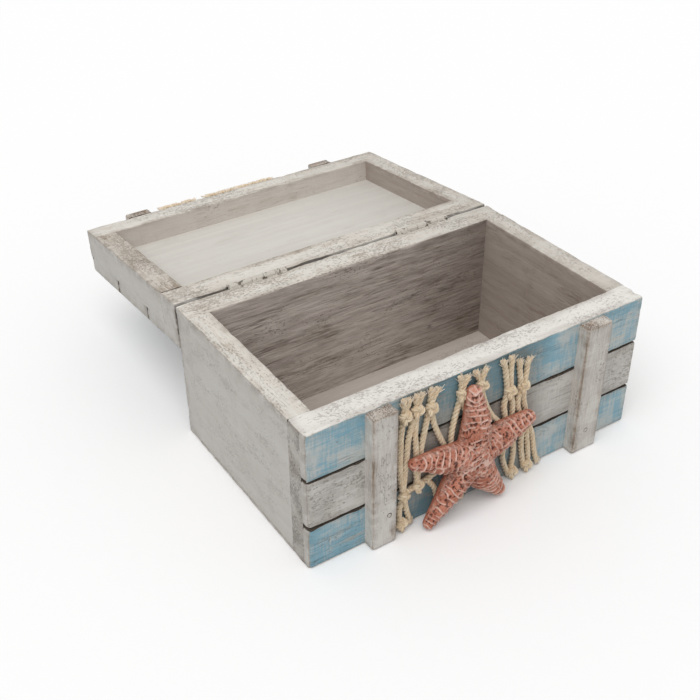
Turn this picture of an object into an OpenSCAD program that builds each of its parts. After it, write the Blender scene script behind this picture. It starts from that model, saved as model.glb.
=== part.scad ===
// Wooden keepsake box with a hinged lid lying open, a cord net and a starfish.
// Millimetres. +X right, +Y back, +Z up; origin at the middle of the box's bottom.

/* [Box] */
// Width of body and lid, left to right
box_w = 140; // [130:1:160]
// Depth of the body, front to back
body_d = 86; // [80:1:100]
// Height of the body
body_h = 55; // [52:1:70]
// Thickness of the body's side walls
wall_t = 8.6; // [7:0.1:10]
// Thickness of the back wall
back_t = 9.8; // [8:0.1:12]
// Thickness of the board behind the front planks
front_board_t = 7.0; // [5:0.1:9]
// Thickness of the thin bottom panel
bottom_t = 2.0; // [1.5:0.1:4]

/* [Front planks and battens] */
// Thickness of the front planks
plank_t = 2.8; // [2:0.1:4]
// Height of the lowest front plank
plank_low_h = 16.8; // [12:0.1:20]
// Height of the middle front plank
plank_mid_h = 18.8; // [12:0.1:22]
// Width of the groove between planks
groove = 0.5; // [0.4:0.1:1.6]
// Rounding of the planks' edges
plank_round = 1.0; // [0.5:0.1:1.3]
// Width of the left front batten
batten_left_w = 9.7; // [7:0.1:12]
// Width of the right front batten
batten_right_w = 11.6; // [7:0.1:13]
// Thickness of each batten
batten_t = 4.5; // [3:0.1:6]
// How far left of the box's middle the left front batten's middle lies
batten_left_x = 43.6; // [40:0.1:50]
// How far right of the box's middle the right front batten's middle lies
batten_right_x = 45.3; // [40:0.1:50]
// Width of the lid's left strips
lid_batten_left_w = 10.6; // [7:0.1:12]
// Width of the lid's right strips
lid_batten_right_w = 10.0; // [7:0.1:12]
// How far left of the box's middle the middle of the lid's left strips lies
lid_batten_left_x = 46.2; // [40:0.1:50]
// How far right of the box's middle the middle of the lid's right strips lies
lid_batten_right_x = 43.6; // [40:0.1:50]
// Height of each front batten
batten_h = 54.3; // [51:0.1:55]
// How far the lid's top strips stop short of its back edge
lid_batten_inset = 2; // [1:0.5:6]
// Rounding of the battens' edges
batten_round = 0.6; // [0.3:0.1:1]
// Radius of the nail heads on the battens
batten_nail_r = 0.7; // [0.6:0.1:1.5]
// Height of the left batten's nail head above the floor
nail_left_z = 12.7; // [6:0.1:45]
// Height of the right batten's nail head above the floor
nail_right_z = 9.1; // [6:0.1:45]
// How far right of the left batten's middle its nail head lies
nail_left_x = 1.7; // [-2.5:0.1:2.5]
// How far right of the right batten's middle its nail head lies
nail_right_x = -0.2; // [-2.5:0.1:2.5]

/* [Lid] */
// Depth of the lid, back edge to front edge
lid_d = 84; // [78:1:98]
// Height of the lid's rails
lid_rail_h = 12.2; // [10:0.1:16]
// Thickness of the lid's top planks
lid_plank_t = 6.3; // [5:0.1:8]
// Width of the lid's side rails
lid_side_w = 9.0; // [7:0.1:11]
// Width of the lid's back rail
lid_back_w = 11.5; // [9:0.1:14]
// Width of the lid's front rail, without its plank
lid_front_w = 7.0; // [5:0.1:9]
// Depth of the recess under the lid
recess = 9.0; // [6:0.1:9.5]
// Rounding of the lid's top edges
lid_round = 2.0; // [1:0.1:3]
// How far past straight the open lid droops, in degrees
droop = 5; // [3:1:5]
// Gap between body and closed lid
rim_gap = 0.3; // [0.2:0.1:0.6]
// Gap between the body's back and the open lid
back_gap = 1.9; // [1.9:0.1:3]

/* [Hinges] */
// Distance of each hinge's middle from the box's middle
hinge_x = 37; // [30:0.5:45]
// Length of each hinge
hinge_len = 24; // [20:0.5:30]
// Radius of the hinge barrel
barrel_r = 1.15; // [1.1:0.05:1.5]
// Radius of the hinge pin
pin_r = 0.5; // [0.4:0.05:0.6]
// Thickness of the hinge leaves
leaf_t = 0.7; // [0.5:0.05:0.8]
// Height of each leaf, from the pin
leaf_h = 8.6; // [7:0.1:10]
// Radius of the hinge nails
nail_r = 0.45; // [0.35:0.05:0.6]
// Length of the hinge nails
nail_len = 5; // [3:0.5:6]

/* [Net and starfish] */
// Thickness of the net's cord
cord_d = 2.1; // [1.8:0.1:3]
// Radius of the net's knots
knot_r = 2.0; // [1.6:0.1:2.4]
// Thickness of the starfish at its middle
star_t = 8; // [7:0.5:12]

/* [Hidden] */
$fn = 48;
eps = 0.01;
knuckles = 5;
// Running play of the pin in the lid's knuckles, and gap between knuckles
pin_play = 0.03;
knuckle_gap = 0.15;
// Play around the barrel in the wooden pockets and leaf cut-outs
barrel_play = 0.15;
front_t = front_board_t + plank_t;
front_y = -body_d / 2;
back_y = body_d / 2;
board_y = front_y + plank_t;
inner_front_y = front_y + front_t;
inner_back_y = back_y - back_t;
plank_top_z = plank_low_h + plank_mid_h + 2 * groove;
plank_top_h = body_h - plank_top_z;
axis_y = back_y + back_gap / 2;
axis_z = body_h + rim_gap / 2;
lid_h = lid_rail_h + lid_plank_t;
lid_plank_w = (lid_d - 2 * groove) / 3;
pocket_r = barrel_r + barrel_play;
knuckle_w = (hinge_len - (knuckles - 1) * knuckle_gap) / knuckles;
knuckle_step = knuckle_w + knuckle_gap;
nail_head_r = 0.9;
nail_head_t = 0.4;
cord_r = cord_d / 2;
cord_y = cord_r + 0.06;
// Facets around a cord, and how much further out each next cord lies
cord_sides = 6;
cord_step = 0.07;

// Body net, x and z of each cord's middle line on the front planks
net_front_cords = [
    [[-34.6, 54.2], [-34.9, 48], [-35.6, 36], [-35.4, 24], [-34.4, 15.2], [-35.6, 7], [-35.8, 1.4]],
    [[-34.2, 15], [-32.6, 8], [-31.4, 1.4]],
    [[-30, 54.2], [-30.2, 48.5], [-32.6, 39], [-33.4, 27], [-34.2, 15.4]],
    [[-30, 48.5], [-30, 38], [-29.4, 27], [-28.8, 16.8]],
    [[-24, 54.2], [-24.6, 47.2], [-27.2, 33], [-28, 24], [-28.9, 17]],
    [[-24.6, 47.2], [-22, 38], [-18.6, 30], [-14.6, 22.6]],
    [[-34.4, 15.2], [-28.8, 16.8], [-24.6, 17.6], [-14.6, 21.6]],
    [[-25.4, 17.8], [-21.6, 12.4], [-20.4, 6], [-20.8, 1.4]],
    [[-12.6, 54.2], [-12.3, 47.4], [-14.2, 38], [-15, 30], [-14.6, 22.6]],
    [[-12.3, 47.4], [-9.6, 38], [-6.8, 30], [-4.4, 23]],
    [[-6.6, 54], [-4.3, 47.6], [-5, 38], [-5, 30], [-4.2, 22.6]],
    [[-2.4, 53.6], [-4.1, 47.6], [-1.4, 38], [3.6, 30], [9, 24.6]],
    [[-14.6, 22.4], [-9, 20], [-4.4, 22.6], [2, 21], [9.4, 24.4], [17.2, 23.4]],
    [[-14.6, 22], [-12.4, 14], [-9.6, 7], [-9.4, 1.4]],
    [[-4.4, 22.4], [-7, 14], [-9, 7]],
    [[4.7, 53.6], [7.6, 41], [6.9, 34], [9, 24.6]],
    [[8.5, 53.8], [9.2, 40.4], [10.8, 33], [10.4, 24.6]],
    [[12, 51], [13.6, 40.4], [13.2, 32], [16.4, 23.6]],
    [[16.2, 50.4], [15, 40.4], [16.2, 32], [18, 23.4]],
    [[9.2, 24.4], [8.4, 12], [10.8, 4], [12.4, 1.4]],
    [[10.2, 24.4], [13.2, 14], [13, 5], [12.8, 1.4]],
    [[16.6, 23.4], [16.4, 15], [18, 5], [19.4, 1.4]],
    [[17.8, 23.4], [19.2, 14.4], [20.8, 5], [20, 1.4]],
    [[18.2, 23.6], [20.8, 18], [22.8, 10], [25.2, 1.4]]
];
net_front_knots = [
    [-34.8, 48], [-30.1, 48.6], [-24.5, 47.2], [-12.3, 47.4], [-4.2, 47.6], [8.4, 40], [14.3, 39.8],
    [-34.3, 15.2], [-28.8, 16.9], [-35.2, 3], [12.7, 2.8], [19.6, 2.8]
];
// Lid net, x and depth from the rim on the lid's front plank
net_lid_cords = [
    [[-34.6, 0.2], [-34.2, 8], [-33, 17]],
    [[-30, 0.2], [-30.6, 8], [-33, 16.6]],
    [[-24, 0.2], [-24.4, 8], [-27, 17]],
    [[-12.6, 0.2], [-12.4, 8], [-10, 17]],
    [[-6.6, 0.2], [-5, 7], [-9.6, 16.6]],
    [[-2.4, 0.2], [-4.4, 7], [-1.6, 17]],
    [[4.7, 0.2], [6, 8], [8.8, 17]],
    [[8.5, 0.2], [7.4, 8], [9.4, 16.6]],
    [[12, 0.2], [13.4, 8], [12.6, 17]],
    [[16.2, 0.2], [14.6, 8], [18, 17]],
    [[-33.4, 16.4], [-26.8, 16.2], [-18, 14.6], [-9.8, 16.4], [-1.6, 16], [9, 16.2], [17.4, 16.4]]
];
net_lid_knots = [[-34.1, 7.4], [-30.5, 7.8], [-24.4, 7.6], [-12.4, 7.4], [-4.8, 7.4], [6.8, 8], [14, 8], [9.1, 16]];

// Starfish middle, and for each arm the tip's x, z, radius and lift off the net, then its thick part's x, z, radius
star_middle = [-8.5, 22.6];
star_arms = [
    [-9.4, 48.7, 2.5, 0, -7.6, 37, 5.0],
    [15.4, 28.0, 2.8, 0, 4.5, 25.8, 4.9],
    [2.9, 3.6, 2.6, 1.8, -3.7, 12.3, 5.6],
    [-27.0, 2.7, 2.1, 2.4, -17.7, 13.0, 4.3],
    [-32.2, 29.2, 2.1, 0, -22.5, 26.8, 4.5]
];
star_gap = 0.1;
star_back_y = front_y - cord_y - cord_r - star_gap;
star_core_r = 6.4;
star_arm_t = star_t - 1.2;
press_gap = 0.2;
star_web_r = 11.5;

// A profile in the YZ plane is drawn in 2D and run out along X
module along_x(length) {
    translate([-length / 2, 0, 0]) rotate([90, 0, 90]) linear_extrude(length) children();
}

module box_at(low, high) {
    translate(low) cube(high - low);
}

// Rectangle from [0, 0] whose corners named in the list are rounded:
// 0 near-low, 1 far-low, 2 near-high, 3 far-high
module rounded_rect(size, r, corners) {
    difference() {
        square(size);
        for (c = corners) {
            right = c % 2;
            top = floor(c / 2);
            translate([right * size[0], top * size[1]])
                mirror([right, 0]) mirror([0, top])
                difference() {
                    translate([-eps, -eps]) square(r + eps);
                    translate([r, r]) circle(r);
                }
        }
    }
}

// Lid pieces are drawn with Y from the lid's back edge and Z below the open rim
module lid_place() {
    translate([0, axis_y, axis_z]) rotate([-droop, 0, 0])
        translate([0, back_gap / 2, -rim_gap / 2]) children();
}

module bottom_panel() {
    color([0.72, 0.70, 0.66])
        box_at([-box_w / 2, inner_front_y, 0], [box_w / 2, inner_back_y, bottom_t]);
}

module side_wall(side) {
    x0 = side > 0 ? box_w / 2 - wall_t : -box_w / 2;
    color([0.76, 0.74, 0.70])
        box_at([x0, inner_front_y, bottom_t], [x0 + wall_t, inner_back_y, body_h]);
}

module left_wall() {
    side_wall(-1);
}

module right_wall() {
    side_wall(1);
}

// Room in the wood for one hinge's barrel, about the pin's axis
module barrel_pocket(x) {
    translate([x - hinge_len / 2 - barrel_play, axis_y, axis_z])
        rotate([0, 90, 0]) cylinder(r = pocket_r, h = hinge_len + 2 * barrel_play);
}

// Shallow seat for a leaf in the back wall
module body_leaf_seat(x) {
    box_at([x - hinge_len / 2, back_y - leaf_t, axis_z - leaf_h],
           [x + hinge_len / 2, back_y + 1, body_h + 1]);
}

function nail_spots() = [for (s = [-1, 1]) s * (hinge_len / 2 - 5)];
function nail_z() = axis_z - leaf_h + 2.6;

module body_nail_holes(x, r, length) {
    for (dx = nail_spots())
        translate([x + dx, back_y - leaf_t + eps, nail_z()])
            rotate([90, 0, 0]) cylinder(r = r, h = length, $fn = 24);
}

module back_wall() {
    color([0.76, 0.74, 0.70])
    difference() {
        box_at([-box_w / 2, inner_back_y, 0], [box_w / 2, back_y, body_h]);
        for (x = [-hinge_x, hinge_x]) {
            barrel_pocket(x);
            body_leaf_seat(x);
            body_nail_holes(x, nail_r, nail_len - leaf_t);
        }
    }
}

module front_board() {
    color([0.80, 0.78, 0.74])
        box_at([-box_w / 2, board_y, 0], [box_w / 2, inner_front_y, body_h]);
}

// One plank on the front board, front edges and ends rounded
module front_plank(z, h) {
    intersection() {
        translate([0, front_y, z]) along_x(box_w)
            rounded_rect([plank_t, h], plank_round, [0, 2]);
        translate([-box_w / 2, board_y, z]) rotate([90, 0, 0])
            linear_extrude(plank_t) rounded_rect([box_w, h], plank_round, [0, 1, 2, 3]);
    }
}

module front_plank_bottom() {
    color([0.50, 0.66, 0.72]) front_plank(0, plank_low_h);
}

module front_plank_middle() {
    color([0.78, 0.77, 0.74]) front_plank(plank_low_h + groove, plank_mid_h);
}

module front_plank_top() {
    color([0.50, 0.66, 0.72]) front_plank(plank_top_z, plank_top_h);
}

// A front batten's and a lid strip's middle and width
function batten_mid(side) = side < 0 ? -batten_left_x : batten_right_x;
function batten_wide(side) = side < 0 ? batten_left_w : batten_right_w;
function lid_batten_mid(side) = side < 0 ? -lid_batten_left_x : lid_batten_right_x;
function lid_batten_wide(side) = side < 0 ? lid_batten_left_w : lid_batten_right_w;

// Where a batten's nail goes in, on the batten's back
module nail_place(side) {
    translate([batten_mid(side) + (side < 0 ? nail_left_x : nail_right_x), front_y,
               side < 0 ? nail_left_z : nail_right_z]) rotate([90, 0, 0]) children();
}

// Upright strip, its front corners rounded
module front_batten(side) {
    color([0.78, 0.77, 0.74])
    difference() {
        translate([batten_mid(side) - batten_wide(side) / 2, front_y - batten_t, 0])
            linear_extrude(batten_h) rounded_rect([batten_wide(side), batten_t], batten_round, [0, 1]);
        nail_place(side) {
            translate([0, 0, batten_t - nail_head_t])
                cylinder(r = batten_nail_r, h = nail_head_t + eps, $fn = 24);
            translate([0, 0, -eps]) cylinder(r = nail_r, h = batten_t, $fn = 24);
        }
    }
}

module front_batten_left() {
    front_batten(-1);
}

module front_batten_right() {
    front_batten(1);
}

module batten_nails() {
    color([0.45, 0.44, 0.42])
    for (side = [-1, 1])
        nail_place(side) {
            translate([0, 0, batten_t - nail_head_t])
                cylinder(r = batten_nail_r, h = nail_head_t, $fn = 24);
            cylinder(r = nail_r, h = batten_t - nail_head_t, $fn = 24);
        }
}

// Points of an open path made closer and smoother by cutting its corners
function cut_corners(p) = concat([p[0]],
    [for (i = [0:len(p) - 2], t = [0.25, 0.75]) if (!(i == 0 && t < 0.5) && !(i == len(p) - 2 && t > 0.5))
        p[i] * (1 - t) + p[i + 1] * t],
    [p[len(p) - 1]]);

function heading(p, i) =
    let (d = p[min(i + 1, len(p) - 1)] - p[max(i - 1, 0)]) d / norm(d);

// Flat-lying cord: a tube along points in the XZ plane, its middle line at depth y
module cord(path, y, r = cord_r) {
    p = cut_corners(path);
    n = cord_sides;
    rings = [for (i = [0:len(p) - 1])
        let (h = heading(p, i))
        for (k = [0:n - 1])
            let (a = 360 * (k + 0.5) / n)
            [p[i][0] + r * cos(a) * h[1], y + r * sin(a), p[i][1] - r * cos(a) * h[0]]];
    last = n * (len(p) - 1);
    sides = [for (i = [0:len(p) - 2], k = [0:n - 1])
        let (a = n * i + k, b = n * i + (k + 1) % n)
        each [[a, b + n, b], [a, a + n, b + n]]];
    caps = [for (k = [1:n - 2]) each [[0, k, k + 1], [last, last + k + 1, last + k]]];
    polyhedron(rings, concat(sides, caps), convexity = 4);
}

// Cords lie against y_face and stand out towards -Y
module net(cords, knots) {
    for (i = [0:len(cords) - 1])
        cord(cords[i], -cord_y - cord_step * (i % 4));
    for (k = knots)
        translate([k[0], -knot_r - 0.1, k[1]])
            hull() for (s = [-1, 1])
                translate([0.25 * s, 0, 0.7 * s]) sphere(knot_r, $fn = 8);
}

// The net is pressed in a little where the starfish lies on it
module front_net() {
    color([0.80, 0.72, 0.58])
    difference() {
        translate([0, front_y, 0]) net(net_front_cords, net_front_knots);
        star_form(press_gap);
    }
}

// Five fat arms that meet in a raised middle, flat at the back, all grown by a margin
module star_form(grow) {
    intersection() {
        union() {
            for (arm = star_arms)
                hull() {
                    translate([star_middle[0], star_back_y - star_t + star_core_r, star_middle[1]])
                        sphere(star_core_r + grow, $fn = 18);
                    translate([arm[4], star_back_y - star_arm_t + arm[6] - 0.4 * arm[3], arm[5]])
                        sphere(arm[6] + grow, $fn = 16);
                    translate([arm[0], star_back_y - arm[2] * 0.75 - arm[3], arm[1]])
                        sphere(arm[2] + grow, $fn = 14);
                }
            translate([star_middle[0], star_back_y, star_middle[1]])
                scale([1, 0.62, 1]) sphere(star_web_r + grow, $fn = 20);
        }
        box_at([-box_w / 2, front_y - 30, 0.3], [box_w / 2, star_back_y + grow, body_h - 0.3]);
    }
}

module starfish() {
    color([0.78, 0.45, 0.33]) star_form(0);
}

// Knuckles number first, first + 2, ... of a hinge, with the pin's hole
module knuckle_row(x, first, bore) {
    for (i = [first:2:knuckles - 1])
        translate([x - hinge_len / 2 + i * knuckle_step, axis_y, axis_z])
            rotate([0, 90, 0])
            difference() {
                cylinder(r = barrel_r, h = knuckle_w);
                translate([0, 0, -eps]) cylinder(r = bore, h = knuckle_w + 2 * eps, $fn = 32);
            }
}

// Room for the other leaf's knuckles
module knuckle_rooms(x, first) {
    for (i = [first:2:knuckles - 1])
        translate([x - hinge_len / 2 + i * knuckle_step - knuckle_gap, axis_y, axis_z])
            rotate([0, 90, 0]) cylinder(r = pocket_r, h = knuckle_w + 2 * knuckle_gap);
}

// The leaf's plate, drawn with its face at Y = back_y and reaching up to the pin
module leaf_plate(x) {
    difference() {
        box_at([x - hinge_len / 2, back_y - leaf_t, axis_z - leaf_h],
               [x + hinge_len / 2, back_y, axis_z]);
        translate([x - hinge_len, axis_y, axis_z]) rotate([0, 90, 0])
            cylinder(r = barrel_r - 0.3, h = 2 * hinge_len);
        for (dx = nail_spots()) {
            translate([x + dx, back_y + eps, nail_z()])
                rotate([90, 0, 0]) cylinder(r = nail_head_r, h = nail_head_t + eps, $fn = 24);
            translate([x + dx, back_y + eps, nail_z()])
                rotate([90, 0, 0]) cylinder(r = nail_r, h = leaf_t + 1, $fn = 24);
        }
    }
}

module body_leaf(x) {
    color([0.72, 0.71, 0.67])
    union() {
        difference() {
            leaf_plate(x);
            knuckle_rooms(x, 1);
        }
        knuckle_row(x, 0, pin_r + pin_play);
    }
}

// Mirrors a closed-lid hinge piece to the lid's side of the open hinge
module to_open_lid() {
    translate([0, axis_y, axis_z]) rotate([-droop, 0, 0]) mirror([0, 1, 0])
        translate([0, -axis_y, -axis_z]) children();
}

module lid_leaf(x) {
    color([0.72, 0.71, 0.67])
    to_open_lid()
    union() {
        difference() {
            leaf_plate(x);
            knuckle_rooms(x, 0);
        }
        knuckle_row(x, 1, pin_r + pin_play);
    }
}

module hinge_pin(x) {
    color([0.60, 0.58, 0.54])
        translate([x - hinge_len / 2, axis_y, axis_z])
            rotate([0, 90, 0]) cylinder(r = pin_r, h = hinge_len, $fn = 32);
}

module hinge_nail(x) {
    for (dx = nail_spots())
        translate([x + dx, back_y, nail_z()]) rotate([90, 0, 0]) {
            cylinder(r = nail_head_r, h = nail_head_t, $fn = 24);
            translate([0, 0, nail_head_t]) cylinder(r = nail_r, h = nail_len - nail_head_t, $fn = 24);
        }
}

module hinge_body_leaf_left() {
    body_leaf(-hinge_x);
}

module hinge_body_leaf_right() {
    body_leaf(hinge_x);
}

module hinge_lid_leaf_left() {
    lid_leaf(-hinge_x);
}

module hinge_lid_leaf_right() {
    lid_leaf(hinge_x);
}

module hinge_pin_left() {
    hinge_pin(-hinge_x);
}

module hinge_pin_right() {
    hinge_pin(hinge_x);
}

module hinge_nails_body() {
    color([0.60, 0.58, 0.54])
    for (x = [-hinge_x, hinge_x]) hinge_nail(x);
}

module hinge_nails_lid() {
    color([0.60, 0.58, 0.54])
    to_open_lid() for (x = [-hinge_x, hinge_x]) hinge_nail(x);
}

module lid_side_rail(side) {
    x0 = side > 0 ? box_w / 2 - lid_side_w : -box_w / 2;
    color([0.76, 0.74, 0.70]) lid_place()
        box_at([x0, lid_back_w, -lid_rail_h], [x0 + lid_side_w, lid_d - plank_t - lid_front_w, 0]);
}

module lid_left_rail() {
    lid_side_rail(-1);
}

module lid_right_rail() {
    lid_side_rail(1);
}

module lid_back_rail() {
    color([0.76, 0.74, 0.70])
    difference() {
        lid_place() box_at([-box_w / 2, 0, -lid_rail_h], [box_w / 2, lid_back_w, 0]);
        for (x = [-hinge_x, hinge_x]) {
            barrel_pocket(x);
            to_open_lid() body_leaf_seat(x);
            to_open_lid() body_nail_holes(x, nail_r, nail_len - leaf_t);
        }
    }
}

module lid_front_rail() {
    y1 = lid_d - plank_t;
    color([0.80, 0.78, 0.74]) lid_place()
        box_at([-box_w / 2, y1 - lid_front_w, -lid_rail_h], [box_w / 2, y1, 0]);
}

module lid_inner_panel() {
    color([0.84, 0.83, 0.79]) lid_place()
        box_at([-box_w / 2 + lid_side_w, lid_back_w, -lid_rail_h],
               [box_w / 2 - lid_side_w, lid_d - plank_t - lid_front_w, -recess]);
}

module lid_front_plank() {
    color([0.78, 0.77, 0.74]) lid_place()
        translate([0, lid_d - plank_t, -lid_rail_h]) along_x(box_w)
            rounded_rect([plank_t, lid_rail_h], plank_round, [1, 3]);
}

// Top plank number i from the back; the outer edges are rounded
module lid_plank(i, corners, r) {
    lid_place()
        translate([0, i * (lid_plank_w + groove), -lid_h]) along_x(box_w)
            rounded_rect([lid_plank_w, lid_plank_t], r, corners);
}

module lid_plank_back() {
    color([0.50, 0.66, 0.72]) lid_plank(0, [0, 1], plank_round);
}

module lid_plank_middle() {
    color([0.78, 0.77, 0.74]) lid_plank(1, [0, 1], plank_round);
}

module lid_plank_front() {
    color([0.50, 0.66, 0.72]) lid_plank(2, [1], lid_round);
}

// Strip across the lid's top, from near its back edge to the front batten's face
module lid_batten(side) {
    color([0.78, 0.77, 0.74]) lid_place()
        translate([lid_batten_mid(side) - lid_batten_wide(side) / 2, lid_batten_inset, -lid_h - batten_t])
            rotate([90, 0, 0]) mirror([0, 0, 1]) linear_extrude(lid_d + batten_t - lid_batten_inset)
            rounded_rect([lid_batten_wide(side), batten_t], batten_round, [0, 1]);
}

module lid_batten_left() {
    lid_batten(-1);
}

module lid_batten_right() {
    lid_batten(1);
}

// Strip down the lid's front, under the end of the top strip
module lid_front_batten(side) {
    color([0.78, 0.77, 0.74]) lid_place()
        translate([lid_batten_mid(side) - lid_batten_wide(side) / 2, lid_d, -lid_h]) linear_extrude(lid_h)
            rounded_rect([lid_batten_wide(side), batten_t], batten_round, [2, 3]);
}

module lid_front_batten_left() {
    lid_front_batten(-1);
}

module lid_front_batten_right() {
    lid_front_batten(1);
}

module lid_net() {
    color([0.80, 0.72, 0.58]) lid_place()
        translate([0, lid_d, 0]) rotate([180, 0, 0]) net(net_lid_cords, net_lid_knots);
}

bottom_panel();
left_wall();
right_wall();
back_wall();
front_board();
front_plank_bottom();
front_plank_middle();
front_plank_top();
front_batten_left();
front_batten_right();
batten_nails();
front_net();
starfish();
hinge_body_leaf_left();
hinge_body_leaf_right();
hinge_lid_leaf_left();
hinge_lid_leaf_right();
hinge_pin_left();
hinge_pin_right();
hinge_nails_body();
hinge_nails_lid();
lid_left_rail();
lid_right_rail();
lid_back_rail();
lid_front_rail();
lid_inner_panel();
lid_front_plank();
lid_plank_back();
lid_plank_middle();
lid_plank_front();
lid_batten_left();
lid_batten_right();
lid_front_batten_left();
lid_front_batten_right();
lid_net();
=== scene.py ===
import math

import bpy
import numpy as np
from mathutils import Matrix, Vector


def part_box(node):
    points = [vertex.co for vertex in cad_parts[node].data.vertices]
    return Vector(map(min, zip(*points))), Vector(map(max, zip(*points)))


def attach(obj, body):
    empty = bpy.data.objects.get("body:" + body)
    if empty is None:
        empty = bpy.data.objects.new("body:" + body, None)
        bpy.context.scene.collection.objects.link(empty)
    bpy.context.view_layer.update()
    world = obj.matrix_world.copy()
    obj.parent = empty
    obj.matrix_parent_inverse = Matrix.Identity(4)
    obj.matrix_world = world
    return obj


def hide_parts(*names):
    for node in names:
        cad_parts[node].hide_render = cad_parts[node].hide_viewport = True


# Wooden keepsake box with its lid open, a knotted cord net and a starfish.
# Metres in the scene; sizes written here in millimetres go through MM.
MM = 0.001

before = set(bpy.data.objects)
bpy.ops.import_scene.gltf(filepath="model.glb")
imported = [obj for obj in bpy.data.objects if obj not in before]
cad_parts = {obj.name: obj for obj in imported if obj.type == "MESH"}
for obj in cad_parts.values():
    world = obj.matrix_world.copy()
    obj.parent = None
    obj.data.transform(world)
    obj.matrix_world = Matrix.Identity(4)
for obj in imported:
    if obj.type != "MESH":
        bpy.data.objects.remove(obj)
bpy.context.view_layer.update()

# Sizes repeated from the part's source, in millimetres
BOX_W, BODY_D = 140.0, 86.0
FRONT_Y, BACK_Y = -BODY_D / 2, BODY_D / 2
AXIS_Y, AXIS_Z = 43.95, 55.15
DROOP = 5.0
BACK_GAP, RIM_GAP = 1.9, 0.3
LID_D, LID_H = 84.0, 18.5
# Heights below the lid's rim: where its planks meet its rails, and its inner panel; its rails' widths
LID_SEAM, LID_PANEL, LID_BACK_W, LID_FRONT_W = -12.2, -9.0, 11.5, 7.0
HINGE_X, HINGE_LEN, LEAF_T, LEAF_H = 37.0, 24.0, 0.7, 8.6
POCKET_R = 1.3
GROOVE = 0.5
CORD_Y, CORD_STEP = 1.11, 0.07
CORD_WIDTH = 2.1
STAR_BACK_Y, STAR_FRONT_Y = -45.26, -53.15
BATTEN_T = 4.5
BATTEN_FACE_Y = FRONT_Y - BATTEN_T
# Each front batten's nail: x, z
BATTEN_NAILS = ((-41.9, 12.7), (45.1, 9.1))
# Each pair of lid strips: side, middle, half width, seed
LID_BATTENS = (("left", -46.2, 5.3, 31), ("right", 43.6, 5.0, 32))

NET_FRONT_CORDS = [
    [[-34.6, 54.2], [-34.9, 48], [-35.6, 36], [-35.4, 24], [-34.4, 15.2], [-35.6, 7], [-35.8, 1.4]],
    [[-34.2, 15], [-32.6, 8], [-31.4, 1.4]],
    [[-30, 54.2], [-30.2, 48.5], [-32.6, 39], [-33.4, 27], [-34.2, 15.4]],
    [[-30, 48.5], [-30, 38], [-29.4, 27], [-28.8, 16.8]],
    [[-24, 54.2], [-24.6, 47.2], [-27.2, 33], [-28, 24], [-28.9, 17]],
    [[-24.6, 47.2], [-22, 38], [-18.6, 30], [-14.6, 22.6]],
    [[-34.4, 15.2], [-28.8, 16.8], [-24.6, 17.6], [-14.6, 21.6]],
    [[-25.4, 17.8], [-21.6, 12.4], [-20.4, 6], [-20.8, 1.4]],
    [[-12.6, 54.2], [-12.3, 47.4], [-14.2, 38], [-15, 30], [-14.6, 22.6]],
    [[-12.3, 47.4], [-9.6, 38], [-6.8, 30], [-4.4, 23]],
    [[-6.6, 54], [-4.3, 47.6], [-5, 38], [-5, 30], [-4.2, 22.6]],
    [[-2.4, 53.6], [-4.1, 47.6], [-1.4, 38], [3.6, 30], [9, 24.6]],
    [[-14.6, 22.4], [-9, 20], [-4.4, 22.6], [2, 21], [9.4, 24.4], [17.2, 23.4]],
    [[-14.6, 22], [-12.4, 14], [-9.6, 7], [-9.4, 1.4]],
    [[-4.4, 22.4], [-7, 14], [-9, 7]],
    [[4.7, 53.6], [7.6, 41], [6.9, 34], [9, 24.6]],
    [[8.5, 53.8], [9.2, 40.4], [10.8, 33], [10.4, 24.6]],
    [[12, 51], [13.6, 40.4], [13.2, 32], [16.4, 23.6]],
    [[16.2, 50.4], [15, 40.4], [16.2, 32], [18, 23.4]],
    [[9.2, 24.4], [8.4, 12], [10.8, 4], [12.4, 1.4]],
    [[10.2, 24.4], [13.2, 14], [13, 5], [12.8, 1.4]],
    [[16.6, 23.4], [16.4, 15], [18, 5], [19.4, 1.4]],
    [[17.8, 23.4], [19.2, 14.4], [20.8, 5], [20, 1.4]],
    [[18.2, 23.6], [20.8, 18], [22.8, 10], [25.2, 1.4]],
]
NET_FRONT_KNOTS = [
    [-34.8, 48], [-30.1, 48.6], [-24.5, 47.2], [-12.3, 47.4], [-4.2, 47.6], [8.4, 40], [14.3, 39.8],
    [-34.3, 15.2], [-28.8, 16.9], [-35.2, 3], [12.7, 2.8], [19.6, 2.8],
]
# The second loose end of a knot
NET_FRONT_TAILS = [
    [[-32.6, 53.8], [-33.8, 50.8], [-34.8, 47.8]],
    [[-27.9, 54.0], [-29.2, 51.2], [-30.2, 48.4]],
    [[-21.9, 53.8], [-23.4, 50.6], [-24.6, 47.2]],
    [[-9.9, 53.6], [-11.2, 51], [-12.3, 47.6]],
]
NET_LID_CORDS = [
    [[-34.6, 0.2], [-34.2, 8], [-33, 17]],
    [[-30, 0.2], [-30.6, 8], [-33, 16.6]],
    [[-24, 0.2], [-24.4, 8], [-27, 17]],
    [[-12.6, 0.2], [-12.4, 8], [-10, 17]],
    [[-6.6, 0.2], [-5, 7], [-9.6, 16.6]],
    [[-2.4, 0.2], [-4.4, 7], [-1.6, 17]],
    [[4.7, 0.2], [6, 8], [8.8, 17]],
    [[8.5, 0.2], [7.4, 8], [9.4, 16.6]],
    [[12, 0.2], [13.4, 8], [12.6, 17]],
    [[16.2, 0.2], [14.6, 8], [18, 17]],
    [[-33.4, 16.4], [-26.8, 16.2], [-18, 14.6], [-9.8, 16.4], [-1.6, 16], [9, 16.2], [17.4, 16.4]],
]
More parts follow.
